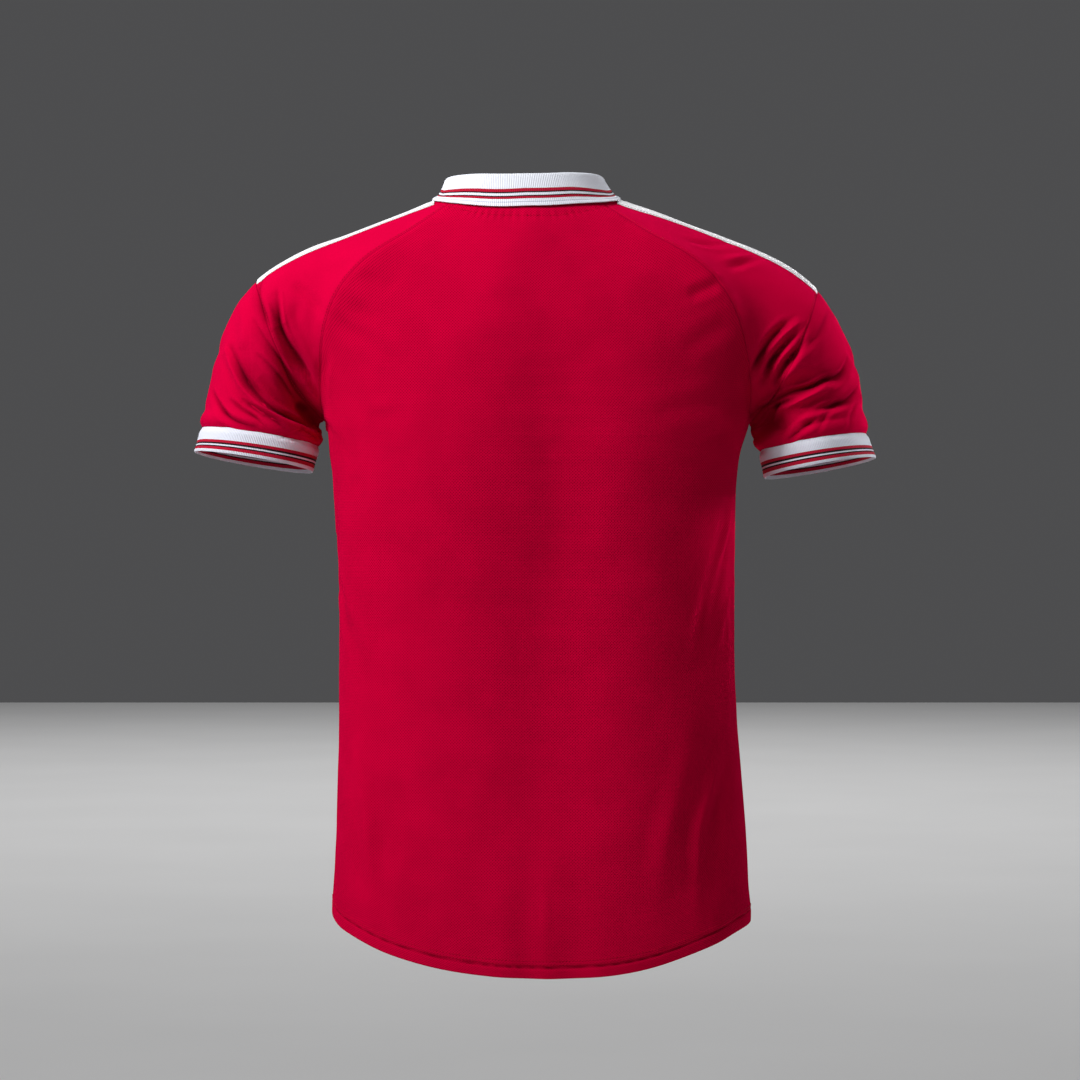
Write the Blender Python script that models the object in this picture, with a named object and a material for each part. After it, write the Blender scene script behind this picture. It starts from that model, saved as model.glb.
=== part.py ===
"""Football jersey, worn: a short-sleeved knit shirt with raglan-cut front and back, saddle
shoulder panels, a striped rib collar and striped rib cuffs, held in the round as on a wearer.

The wearer faces +Y, +X is the wearer's right and +Z is up. The origin lies between the
shoulders at the base of the neck. A cage of sections worked out from the sizes below is drawn
smooth, cut into panels along the seams, and each panel is given its wall of cloth.
"""
from collections import namedtuple
from math import cos, pi, sin

import bmesh
import bpy
import numpy as np
from mathutils import Vector
from mathutils.bvhtree import BVHTree

# ---------------------------------------------------------------- sizes, in metres
CLOTH = 0.0012          # wall of the body, shoulder and sleeve cloth
HEM_CLOTH = 0.0026      # wall where the hem is turned up
RIB = 0.0020            # wall of the flat-knit rib of cuffs and collar
BAND_CLOTH = 0.0010     # wall of the white shoulder bands
SEAM_GAP = 0.0003       # gap between neighbouring pieces

ARMPIT = -0.214         # level of the underarm points
NECK_SHIFT = -0.0100    # the neck leans this far to the left

HEM_DEPTH = 0.016       # height of the turned-up hem
HEM_LEFT = -0.679       # height of the hem edge at the left side seam
HEM_RIGHT = -0.688      # height of the hem edge at the right side seam
HEM_DROP_BACK = 0.045   # how much lower the hem is at the centre back
HEM_DROP_FRONT = 0.018
HEM_POWER_LEFT = 1.45   # how soon the hem drops away from each side seam
HEM_POWER_RIGHT = 2.60

# Spans of the cage. The smooth skin has two for each.
PANEL_SPANS = 12        # front or back, side seam to side seam
ARCH_SPANS = 12         # over a shoulder, raglan seam to raglan seam
ARCH_TOP = ARCH_SPANS // 2

# Level sections of the body below the armpits: distances of the sides, back and front from the
# middle, and how square the corners are (2 is an ellipse).
Section = namedtuple("Section", "height left right back front square")
SECTIONS = (
    #       height   left    right   back   front  square
    Section(ARMPIT, -0.2030, 0.2030, 0.121, 0.118, 2.45),
    Section(-0.245, -0.1965, 0.1930, 0.121, 0.117, 2.50),
    Section(-0.300, -0.1920, 0.1890, 0.118, 0.114, 2.50),
    Section(-0.370, -0.1885, 0.1885, 0.112, 0.110, 2.45),
    Section(-0.440, -0.1880, 0.1875, 0.109, 0.107, 2.40),
    Section(-0.520, -0.1890, 0.1930, 0.110, 0.107, 2.40),
    Section(-0.595, -0.1910, 0.1985, 0.114, 0.110, 2.40),
    Section(-0.648, -0.1935, 0.2015, 0.117, 0.112, 2.40),
)
HEM_SECTION = Section(0, -0.1945, 0.2035, 0.118, 0.112, 2.40)
HEM_LEAD = 0.35         # share of the hem's drop that the section above it already has

# Rows of the yoke between the neck edge and the armpits. Widths are half widths from the row's
# centre line, which leans with the neck. A raglan point is (half width, depth, height), the
# back and front are (depth, height) on the centre line.
Row = namedtuple("Row", "shift raglan_back raglan_front ridge ridge_left ridge_right back front")
YOKE = (
    Row(-0.0085, (0.109, -0.068, -0.034), (0.106, 0.063, -0.047), 0.115,
        -0.0125, -0.010, (-0.087, -0.036), (0.103, -0.118)),
    Row(-0.0070, (0.143, -0.078, -0.055), (0.139, 0.082, -0.074), 0.147,
        -0.0245, -0.0235, (-0.102, -0.067), (0.108, -0.138)),
    Row(-0.0055, (0.173, -0.082, -0.082), (0.167, 0.088, -0.103), 0.179,
        -0.0358, -0.0355, (-0.112, -0.101), (0.112, -0.158)),
    Row(-0.0040, (0.193, -0.076, -0.120), (0.187, 0.080, -0.138), 0.210,
        -0.0460, -0.0475, (-0.118, -0.138), (0.115, -0.177)),
    Row(-0.0015, (0.202, -0.050, -0.168), (0.199, 0.052, -0.178), 0.240,
        -0.0595, -0.0640, (-0.120, -0.176), (0.117, -0.196)),
)

# Neck edge, half of it, as two cubic curves that meet on the shoulder ridge, and the places
# along them where the raglan seams start.
NECK_BACK = ((0, -0.068, -0.008), (0.048, -0.068, -0.008), (0.0765, -0.040, 0.0010), (0.0765, 0, 0.0036))
NECK_FRONT = ((0.0765, 0, 0.0036), (0.0765, 0.028, -0.002), (0.050, 0.066, -0.046), (0, 0.097, -0.097))
RAGLAN_AT_BACK = 0.62
RAGLAN_AT_FRONT = 0.36

# Sleeves. All points are (x, height) at mid depth: the top of the sleeve head, the outer
# outline down to the cuff, and the outer and inner end of the rings at the cuff's two edges.
Arm = namedtuple("Arm", "name side head outline cuff_top cuff_end")
ARMS = (
    Arm("right", 1, (0.2670, -0.0870), ((0.288, -0.118), (0.303, -0.152), (0.310, -0.189)),
        ((0.3160, -0.2235), (0.2120, -0.2407)), ((0.3237, -0.2464), (0.2168, -0.2655))),
    Arm("left", -1, (-0.2680, -0.0780), ((-0.291, -0.109), (-0.304, -0.144), (-0.313, -0.181)),
        ((-0.3209, -0.2177), (-0.2090, -0.2355)), ((-0.3276, -0.2407), (-0.2140, -0.2598))),
)
HEAD_BACK = ((0.032, -0.060, 0.028), (-0.006, -0.098, -0.020))   # pulls of the sleeve-head curve
HEAD_FRONT = ((0.032, 0.055, 0.028), (-0.006, 0.086, -0.022))    # at the armpit and at the top
CUFF_DEPTH = 0.052      # half depth of the cuff ring
CUFF_TILT = 0.004       # rise of the ring's back over its sides

# Folds of the body, left over from wearing: three points (x, height) on the back (-1) or the
# front (1), half width, and depth (a ridge where it is below zero).
Fold = namedtuple("Fold", "side start middle end width depth")
FOLDS = (
    Fold(-1, (0.014, -0.080), (0.020, -0.300), (0.006, -0.560), 0.048, 0.009),
    Fold(-1, (0.190, -0.330), (0.168, -0.385), (0.154, -0.435), 0.016, 0.004),
    Fold(-1, (0.178, -0.500), (0.160, -0.555), (0.152, -0.640), 0.016, 0.004),
    Fold(-1, (-0.163, -0.510), (-0.162, -0.580), (-0.160, -0.660), 0.018, -0.004),
    Fold(1, (-0.186, -0.330), (-0.160, -0.395), (-0.150, -0.455), 0.018, 0.004),
    Fold(1, (0.172, -0.470), (0.152, -0.545), (0.148, -0.640), 0.018, 0.004),
    Fold(-1, (-0.247, -0.088), (-0.238, -0.130), (-0.210, -0.170), 0.013, 0.005),
    Fold(-1, (-0.288, -0.152), (-0.262, -0.188), (-0.212, -0.219), 0.013, 0.005),
    Fold(-1, (0.228, -0.190), (0.256, -0.180), (0.294, -0.152), 0.013, 0.005),
    Fold(1, (0.247, -0.095), (0.238, -0.135), (0.212, -0.172), 0.013, 0.005),
    Fold(1, (-0.226, -0.190), (-0.254, -0.182), (-0.296, -0.156), 0.013, 0.005),
)
FOLD_STEPS = 12         # places along a fold at which its depth is worked out
FOLD_FADE = 0.12        # share of a fold's length over which it stays at its least depth
FOLD_SIDE = 3           # how soon a fold dies away where the cloth turns to the side
EASE_ROUNDS = 2         # how often wall directions are blended with their neighbours'
LEAST_SPREAD = 0.15     # keeps an edge point of a sharp tip from moving in too far
SHARP_ANGLE = 0.7       # edges sharper than this, in radians, are drawn sharp

# Collar, from the centre back (place 0) over the shoulder ridge (1) to the point of the V (2):
# height of the fold over the neck edge, its lean outwards, how far past the neck edge the leaf
# reaches over the cloth, and how much the leaf flares, from 0 for straight down to 1.
Place = namedtuple("Place", "place rise lean reach flare")
COLLAR = (
    Place(0.00, 0.0245, -0.0085, 0.0090, 0.00),
    Place(0.35, 0.0232, -0.0070, 0.0110, 0.25),
    Place(0.60, 0.0200, -0.0040, 0.0150, 0.70),
    Place(0.80, 0.0170, -0.0025, 0.0165, 0.80),
    Place(1.00, 0.0136, -0.0020, 0.0130, 0.50),
    Place(1.30, 0.0115, -0.0020, 0.0215, 0.40),
    Place(1.65, 0.0100, -0.0010, 0.0350, 0.20),
    Place(2.00, 0.0065, 0.0020, 0.0520, 0.00),
)
FULL_RISE = 0.0165      # a fold lower than this leans less to the left
COLLAR_SHIFT = -0.0025  # the fold leans this far further to the left than the neck edge
COLLAR_TILT = 0.012     # and falls this much per metre towards the right
COLLAR_STATIONS = 44
COLLAR_END = 1.992      # the two ends of the collar stop just short of the point of the V
EDGE_STEP = 0.01        # for the direction of the neck edge
FOLD_RADIUS = 0.0017    # middle line of the rib where it turns over
LEAF_STEPS = 6
LEAF_CLEAR = 0.0012     # air between the leaf and the cloth that it lies on
STAND_CLEAR = 0.0012    # air between the foot of the stand and the neck edge

# Shoulder bands: white tape along each ridge, which narrows towards the sleeve. Its back and
# front edge are given at the collar and at the sleeve.
BAND_START = 0.0950     # from the neck's middle, just outside the collar leaf
BAND_END = 0.2650       # just inside the sleeve-head seam
BAND_BACK = (-0.0325, -0.0205)
BAND_FRONT = (0.0205, 0.0165)
BAND_LOWEST = -0.130    # nothing of the band is below this
SLIVER = 0.0010         # cut edges shorter than this are closed up

# ---------------------------------------------------------------- colours
Paint = namedtuple("Paint", "red green blue roughness")
PAINTS = {
    "mesh_knit": Paint(0.46, 0.000, 0.030, 0.75),
    "plain_knit": Paint(0.52, 0.000, 0.035, 0.60),
    "rib_knit": Paint(0.80, 0.81, 0.86, 0.85),
    "tape": Paint(0.86, 0.86, 0.88, 0.65),
}
PANELS = {
    "back": "mesh_knit",
    "front": "mesh_knit",
    "shoulder_panel_left": "plain_knit",
    "shoulder_panel_right": "plain_knit",
    "sleeve_left": "plain_knit",
    "sleeve_right": "plain_knit",
    "cuff_left": "rib_knit",
    "cuff_right": "rib_knit",
}
HEM = " hem"            # marks the faces of a panel's turned-up hem


def cubic(points, t):
    """Point of a cubic curve through its first and last point."""
    weights = ((1 - t) ** 3, 3 * t * (1 - t) ** 2, 3 * t * t * (1 - t), t ** 3)
    return sum(weight * np.array(point, float) for weight, point in zip(weights, points))


def neck_edge(t):
    """Point of the neck edge: 0 is the centre back, 1 the right ridge, 2 the point of the V."""
    half = abs(t)
    across, depth, height = cubic(NECK_BACK, half) if half <= 1 else cubic(NECK_FRONT, half - 1)
    return np.array((NECK_SHIFT + (across if t > 0 else -across), depth, height))


def level_point(section, turn):
    """Point of a level section; turn runs from 0, the left side, over the back once around."""
    x, y = cos(2 * pi * turn), sin(2 * pi * turn)
    power = 2 / section.square
    across = abs(x) ** power * (section.left if x > 0 else section.right)
    depth = abs(y) ** power * (-section.back if y > 0 else section.front)
    return np.array((across, depth, section.height))


def hem_height(turn):
    """Height of the hem edge around the body."""
    rightward = (1 - cos(2 * pi * turn)) / 2
    side = HEM_LEFT + (HEM_RIGHT - HEM_LEFT) * rightward
    power = HEM_POWER_LEFT + (HEM_POWER_RIGHT - HEM_POWER_LEFT) * rightward
    swing = sin(2 * pi * turn)
    drop = HEM_DROP_BACK if swing > 0 else HEM_DROP_FRONT
    return side - drop * abs(swing) ** power


def head_point(arm, step):
    """Point of the sleeve-head seam; the steps go from the armpit over the top and back."""
    rising = step <= ARCH_TOP
    t = step / ARCH_TOP if rising else (ARCH_SPANS - step) / ARCH_TOP
    low_pull, high_pull = HEAD_BACK if rising == (arm.side > 0) else HEAD_FRONT
    armpit = np.array((SECTIONS[0].right if arm.side > 0 else SECTIONS[0].left, 0, ARMPIT))
    top = np.array((arm.head[0], 0, arm.head[1]))
    turned = np.array((arm.side, 1, 1))
    return cubic((armpit, armpit + turned * low_pull, top + turned * high_pull, top), t)


def cuff_point(arm, ends, step):
    """Point of one edge of a cuff."""
    (outer_x, outer_z), (inner_x, inner_z) = ends
    turn = 2 * pi * step / ARCH_SPANS
    share = (1 - cos(turn)) / 2
    return np.array((inner_x + (outer_x - inner_x) * share,
                     -arm.side * CUFF_DEPTH * sin(turn),
                     inner_z + (outer_z - inner_z) * share + arm.side * CUFF_TILT * sin(turn)))


class Cage:
    """Corner points of the skin. A point without a place is found by stretching."""

    def __init__(self):
        self.points = []
        self.faces = []
        self.panels = []

    def add(self, point=None):
        self.points.append(point)
        return len(self.points) - 1

    def join(self, upper, lower, panels):
        """Faces between two rows of points, seen from outside with the lower row below."""
        for i, panel in enumerate(panels):
            self.faces.append((upper[i], lower[i], lower[i + 1], upper[i + 1]))
            self.panels.append(panel)


def body_rows(cage):
    """Rings of the body from the armpits to the hem edge, each closed on its first point."""
    around = 2 * PANEL_SPANS
    rows = []
    for section in SECTIONS:
        lead = HEM_LEAD if section is SECTIONS[-1] else 0
        row = []
        for i in range(around):
            point = level_point(section, i / around)
            point[2] += lead * (hem_height(i / around) - max(HEM_LEFT, HEM_RIGHT))
            row.append(cage.add(point))
        rows.append(row + row[:1])
    for rise in (HEM_DEPTH, 0):
        row = []
        for i in range(around):
            point = level_point(HEM_SECTION, i / around)
            point[2] = hem_height(i / around) + rise
            row.append(cage.add(point))
        rows.append(row + row[:1])
    return rows


def yoke_row(cage, row):
    """One ring of the yoke: back, right arch, front, left arch. Only its key points are set."""
    half_panel = PANEL_SPANS // 2
    x_back, y_back, z_back = row.raglan_back
    x_front, y_front, z_front = row.raglan_front
    keys = {
        0: (-x_back, y_back, z_back),
        half_panel: (0, *row.back),
        PANEL_SPANS: (x_back, y_back, z_back),
        PANEL_SPANS + ARCH_TOP: (row.ridge, 0, row.ridge_right),
        PANEL_SPANS + ARCH_SPANS: (x_front, y_front, z_front),
        PANEL_SPANS + ARCH_SPANS + half_panel: (0, *row.front),
        2 * PANEL_SPANS + ARCH_SPANS: (-x_front, y_front, z_front),
        2 * PANEL_SPANS + ARCH_SPANS + ARCH_TOP: (-row.ridge, 0, row.ridge_left),
    }
    ring = []
    for i in range(2 * (PANEL_SPANS + ARCH_SPANS)):
        key = keys.get(i)
        ring.append(cage.add(None if key is None else np.array(key) + (row.shift, 0, 0)))
    return ring + ring[:1]


def neck_row(cage):
    """The neck edge as a ring with the same points as a row of the yoke."""
    front = 1 + RAGLAN_AT_FRONT
    stretches = (
        (-RAGLAN_AT_BACK, RAGLAN_AT_BACK, PANEL_SPANS),
        (RAGLAN_AT_BACK, 1, ARCH_TOP), (1, front, ARCH_TOP),
        (front, 2, PANEL_SPANS // 2), (-2, -front, PANEL_SPANS // 2),
        (-front, -1, ARCH_TOP), (-1, -RAGLAN_AT_BACK, ARCH_TOP),
    )
    ring = [cage.add(neck_edge(a + (b - a) * i / count)) for a, b, count in stretches for i in range(count)]
    return ring + ring[:1]


def build_cage():
    """The whole jersey without collar and bands."""
    cage = Cage()
    body = body_rows(cage)
    sides = ["back"] * PANEL_SPANS + ["front"] * PANEL_SPANS
    for i in range(len(body) - 1):
        hem = HEM if i == len(body) - 2 else ""
        cage.join(body[i], body[i + 1], [side + hem for side in sides])

    heads = {}
    for arm in ARMS:
        armpit = body[0][PANEL_SPANS if arm.side > 0 else 0]
        between = [cage.add(head_point(arm, i)) for i in range(1, ARCH_SPANS)]
        heads[arm.name] = [armpit, *between, armpit]
        loop = heads[arm.name]
        inner_end = cuff_point(arm, arm.cuff_top, 0)
        for i, (x, z) in enumerate(arm.outline):
            ring = [cage.add() for _ in range(ARCH_SPANS)]
            share = (i + 1) / (len(arm.outline) + 1)
            cage.points[ring[0]] = (1 - share) * cage.points[armpit] + share * inner_end
            cage.points[ring[ARCH_TOP]] = np.array((x, 0, z))
            ring.append(ring[0])
            cage.join(loop, ring, [f"sleeve_{arm.name}"] * ARCH_SPANS)
            loop = ring
        for ends, panel in ((arm.cuff_top, "sleeve"), (arm.cuff_end, "cuff")):
            ring = [cage.add(cuff_point(arm, ends, i)) for i in range(ARCH_SPANS)]
            ring.append(ring[0])
            cage.join(loop, ring, [f"{panel}_{arm.name}"] * ARCH_SPANS)
            loop = ring

    around = (["back"] * PANEL_SPANS + ["shoulder_panel_right"] * ARCH_SPANS
              + ["front"] * PANEL_SPANS + ["shoulder_panel_left"] * ARCH_SPANS)
    rows = [neck_row(cage)] + [yoke_row(cage, row) for row in YOKE]
    rows.append(body[0][:PANEL_SPANS] + heads["right"][:-1] + body[0][PANEL_SPANS:-1] + heads["left"])
    for i in range(len(rows) - 1):
        cage.join(rows[i], rows[i + 1], around)
    return cage


def links(cage):
    """Neighbours of each point along edges, across faces, and along the open edges."""
    count = len(cage.points)
    along = [set() for _ in range(count)]
    across = [[] for _ in range(count)]
    uses = {}
    for face in cage.faces:
        for i, point in enumerate(face):
            following = face[(i + 1) % 4]
            along[point].add(following)
            along[following].add(point)
            across[point].append(face[(i + 2) % 4])
            edge = frozenset((point, following))
            uses[edge] = uses.get(edge, 0) + 1
    rim = [[] for _ in range(count)]
    for edge in (edge for edge, used in uses.items() if used == 1):
        a, b = edge
        rim[a].append(b)
        rim[b].append(a)
    return along, across, rim


def stretch(cage, along, rim):
    """Place the free points so that the skin between the given ones bends as little as it can."""
    count = len(cage.points)
    free = [i for i in range(count) if cage.points[i] is None]
    given = [i for i in range(count) if cage.points[i] is not None]
    rows = [i for i in range(count) if not rim[i] and len(along[i]) == 4]
    bend = np.zeros((len(rows), count))
    for row, i in enumerate(rows):
        bend[row, i] = -1
        bend[row, list(along[i])] = 1 / len(along[i])
    placed = np.array([cage.points[i] for i in given])
    found = np.linalg.lstsq(bend[:, free], -bend[:, given] @ placed, rcond=None)[0]
    for i, point in zip(free, found):
        cage.points[i] = point


def raise_cage(cage, along, across, rim):
    """Corner points whose smooth skin passes through the cage's own points."""
    count = len(cage.points)
    smooth = np.zeros((count, count))
    for i in range(count):
        if rim[i]:
            smooth[i, i] = 4 / 6
            smooth[i, rim[i]] = 1 / 6
            continue
        valence = len(along[i])
        whole = valence * (valence + 5)
        smooth[i, i] = valence ** 2 / whole
        for j in along[i]:
            smooth[i, j] += 4 / whole
        for j in across[i]:
            smooth[i, j] += 1 / whole
    return np.linalg.solve(smooth, np.array(cage.points))


def smooth_skin(cage, levels):
    """Points, square faces and panel names of the cage's smooth skin."""
    along, across, rim = links(cage)
    stretch(cage, along, rim)
    names = sorted(set(cage.panels))
    mesh = bpy.data.meshes.new("cage")
    mesh.from_pydata([tuple(p) for p in raise_cage(cage, along, across, rim)], [], cage.faces)
    for name in names:
        mesh.materials.append(bpy.data.materials.new(name))
    for face, panel in zip(mesh.polygons, cage.panels):
        face.material_index = names.index(panel)
    guide = bpy.data.objects.new("cage", mesh)
    bpy.context.scene.collection.objects.link(guide)
    rounding = guide.modifiers.new("Smooth", "SUBSURF")
    rounding.levels = levels
    rounding.render_levels = levels
    shape = guide.evaluated_get(bpy.context.evaluated_depsgraph_get()).to_mesh()
    points = np.array([vertex.co[:] for vertex in shape.vertices])
    faces = [tuple(face.vertices) for face in shape.polygons]
    panels = [names[face.material_index] for face in shape.polygons]
    guide.to_mesh_clear()
    bpy.data.objects.remove(guide)
    for name in names:
        bpy.data.materials.remove(bpy.data.materials[name])
    return points, faces, panels


def normals_of(points, triangles):
    """Outward direction at each point, from the faces around it."""
    corners = points[np.array(triangles)]
    facing = np.cross(corners[:, 1] - corners[:, 0], corners[:, 2] - corners[:, 0])
    normals = np.zeros_like(points)
    for corner in range(3):
        np.add.at(normals, np.array(triangles)[:, corner], facing)
    return normals / np.linalg.norm(normals, axis=1)[:, None]


def wall_directions(points, triangles):
    """Outward directions for the walls, blended with their neighbours' so that no wall crosses
    itself in a tight hollow, and straight down under the arms between body and sleeve."""
    corners = np.array(triangles)
    normals = normals_of(points, triangles)
    for _ in range(EASE_ROUNDS):
        blended = normals.copy()
        for corner in range(3):
            np.add.at(blended, corners[:, corner], normals[corners].sum(axis=1) / 3)
        normals = blended / np.linalg.norm(blended, axis=1)[:, None]
    for side in (SECTIONS[0].left, SECTIONS[0].right):
        underarm = np.linalg.norm(points - (side, 0, ARMPIT), axis=1).argmin()
        normals[underarm] = (0, 0, -1)
    return normals


def press_folds(points, normals):
    """Push the skin in along each fold, softly towards its sides and ends."""
    pushed = points.copy()
    for fold in FOLDS:
        start, middle, end = (np.array(p) for p in (fold.start, fold.middle, fold.end))
        steps = np.linspace(0, 1, FOLD_STEPS + 1)[:, None]
        pull = 2 * middle - (start + end) / 2
        line = (1 - steps) ** 2 * start + 2 * steps * (1 - steps) * pull + steps ** 2 * end
        gaps = np.linalg.norm(points[:, None, [0, 2]] - line[None], axis=2) / fold.width
        fade = np.sqrt(np.sin(pi * np.clip(steps[:, 0], FOLD_FADE, 1 - FOLD_FADE)))
        turned = np.clip(normals[:, 1] * fold.side * FOLD_SIDE, 0, 1)
        push = (np.exp(-gaps ** 2) * fade).max(axis=1) * turned
        pushed -= normals * (push * fold.depth)[:, None]
    return pushed


def halves(points, faces):
    """Each square face as two triangles, cut along its shorter diagonal."""
    triangles = []
    for a, b, c, d in faces:
        if np.linalg.norm(points[a] - points[c]) <= np.linalg.norm(points[b] - points[d]):
            triangles += [(a, b, c), (a, c, d)]
        else:
            triangles += [(b, c, d), (b, d, a)]
    return triangles


def open_edges(triangles):
    """Edges of a sheet that only one face has, in that face's own direction."""
    edges = {(t[i], t[(i + 1) % 3]) for t in triangles for i in range(3)}
    return sorted(edge for edge in edges if edge[::-1] not in edges)


def part_tips(points, normals, triangles):
    """Give each tip its own point where two tips of one sheet meet, as under the arm."""
    ends = [a for a, _ in open_edges(triangles)]
    points, normals, triangles = list(points), list(normals), list(triangles)
    for shared in {point for point in ends if ends.count(point) > 1}:
        around = [i for i, triangle in enumerate(triangles) if shared in triangle]
        tip = {around[0]}
        for _ in around:
            reach = {point for i in tip for point in triangles[i]} - {shared}
            tip |= {i for i in around if reach & set(triangles[i])}
        for i in tip:
            triangles[i] = tuple(len(points) if point == shared else point for point in triangles[i])
        points.append(points[shared])
        normals.append(normals[shared])
    return np.array(points), np.array(normals), triangles


def pull_in(points, normals, triangles):
    """Points of a panel with its edges moved in by half a seam gap."""
    edges = open_edges(triangles)
    moves = {}
    for a, b in edges:
        inward = np.cross(normals[a] + normals[b], points[b] - points[a])
        inward /= np.linalg.norm(inward)
        moves.setdefault(a, []).append(inward)
        moves.setdefault(b, []).append(inward)
    pulled = points.copy()
    for i, (first, second) in moves.items():
        spread = max(1 + first @ second, LEAST_SPREAD)
        pulled[i] += (first + second) / spread * SEAM_GAP / 2
    return pulled, edges


def wall(points, normals, triangles, depth, lift=0.0):
    """Closed cloth wall on a sheet of triangles: its points, and its faces facing outwards."""
    points, normals, triangles = part_tips(points, normals, triangles)
    pulled, edges = pull_in(points, normals, triangles)
    used = sorted({i for triangle in triangles for i in triangle})
    place = {i: n for n, i in enumerate(used)}
    thick = np.append(depth, [CLOTH] * (len(points) - len(depth)))
    outer = pulled[used] + normals[used] * lift
    inner = outer - normals[used] * thick[used][:, None]
    count = len(used)
    faces = []
    for a, b, c in ((place[i] for i in triangle) for triangle in triangles):
        faces.append((a, b, c))
        faces.append((a + count, c + count, b + count))
    for first, last in edges:
        a, b = place[first], place[last]
        if tuple(points[first]) < tuple(points[last]):   # the same cut on both sides of a seam
            faces.append((b, a, b + count))
            faces.append((a, a + count, b + count))
        else:
            faces.append((b, a, a + count))
            faces.append((b, a + count, b + count))
    return np.vstack((outer, inner)), faces


def paint(name):
    """The named material, made on its first use."""
    material = bpy.data.materials.get(name)
    if material is None:
        finish = PAINTS[name]
        material = bpy.data.materials.new(name)
        material.use_nodes = True
        shader = material.node_tree.nodes["Principled BSDF"]
        shader.inputs["Base Color"].default_value = (finish.red, finish.green, finish.blue, 1)
        shader.inputs["Roughness"].default_value = finish.roughness
        shader.inputs["Metallic"].default_value = 0
    return material


def piece(name, points, faces, finish):
    """A named solid of the jersey."""
    mesh = bpy.data.meshes.new(name)
    mesh.from_pydata([tuple(point) for point in points], [], faces)
    mesh.materials.append(paint(finish))
    mesh.shade_smooth()
    mesh.set_sharp_from_angle(angle=SHARP_ANGLE)
    solid = bpy.data.objects.new(name, mesh)
    bpy.context.scene.collection.objects.link(solid)
    return solid


def collar_sizes(place):
    """Rise, lean, reach and flare of the collar at a place between the table's rows."""
    rows = np.array(COLLAR)
    return [np.interp(place, rows[:, 0], rows[:, column]) for column in (1, 2, 3, 4)]


def collar_line(t, tree):
    """Middle line of the collar's rib at one station: stand, fold and leaf."""
    rise, lean, reach, flare = collar_sizes(abs(t))
    edge = Vector(neck_edge(t))
    ahead = Vector(neck_edge(t + EDGE_STEP)) - Vector(neck_edge(t - EDGE_STEP))
    normal = tree.find_nearest(edge)[1]
    outward = ahead.cross(normal).normalized()
    level = Vector((ahead.y, -ahead.x, 0)).normalized()
    foot = edge - normal * CLOTH / 2
    rise -= COLLAR_TILT * (edge.x - NECK_SHIFT)
    top = edge + Vector((COLLAR_SHIFT * min(1, rise / FULL_RISE), 0, rise)) + level * lean
    up = (top - foot).normalized()
    foot = foot + up * STAND_CLEAR
    aside = (level - up * level.dot(up)).normalized()
    line = [foot, foot.lerp(top, 0.5), top]
    for turn in (1 / 3, 2 / 3, 1.0):
        line.append(top + aside * FOLD_RADIUS * (1 - cos(pi * turn)) + up * FOLD_RADIUS * sin(pi * turn))
    start, rest = line[-1], edge + outward * reach
    slant, drop = up.dot(outward), rest - start
    corner = start - up * (slant * drop.dot(outward) - drop.dot(up)) / (1 - slant ** 2)
    bend = ((start + rest) / 2).lerp(corner, flare)
    clear = RIB / 2 + SEAM_GAP + LEAF_CLEAR
    for i in range(1, LEAF_STEPS + 1):
        share = i / LEAF_STEPS
        point = start * (1 - share) ** 2 + bend * 2 * share * (1 - share) + rest * share ** 2
        near, facing, _, _ = tree.find_nearest(point)
        height = (point - near).dot(facing)
        if height < clear:
            point = near + facing * clear
        line.append(point)
    return line, aside


def collar_piece(tree):
    """The collar: one strip of rib, standing, folded over and lying on the shoulders."""
    rings = []
    for i in range(COLLAR_STATIONS + 1):
        t = COLLAR_END * (2 * i / COLLAR_STATIONS - 1)
        line, aside = collar_line(t, tree)
        across = (line[2] - line[0]).cross(aside).normalized()
        inner, outer = [], []
        for j, point in enumerate(line):
            run = line[min(j + 1, len(line) - 1)] - line[max(j - 1, 0)]
            side = run.cross(across).normalized() * RIB / 2
            inner.append(point + side)
            outer.append(point - side)
        rings.append(inner + outer[::-1])
    size = len(rings[0])
    points = [point for ring in rings for point in ring]
    faces = []
    for i in range(COLLAR_STATIONS):
        for j in range(size):
            a, b = i * size + j, i * size + (j + 1) % size
            faces.append((a, b, b + size))
            faces.append((a, b + size, a + size))
    half = size // 2
    for start, flip in ((0, True), (COLLAR_STATIONS * size, False)):
        for j in range(half - 1):
            a, b = start + j, start + j + 1
            c, d = start + size - 2 - j, start + size - 1 - j
            quad = (a, b, c, d) if flip else (d, c, b, a)
            faces.append((quad[0], quad[1], quad[2]))
            faces.append((quad[0], quad[2], quad[3]))
    solid = piece("collar", points, faces, "rib_knit")
    draft = bmesh.new()
    draft.from_mesh(solid.data)
    bmesh.ops.recalc_face_normals(draft, faces=draft.faces)
    draft.to_mesh(solid.data)
    draft.free()
    return solid


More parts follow.
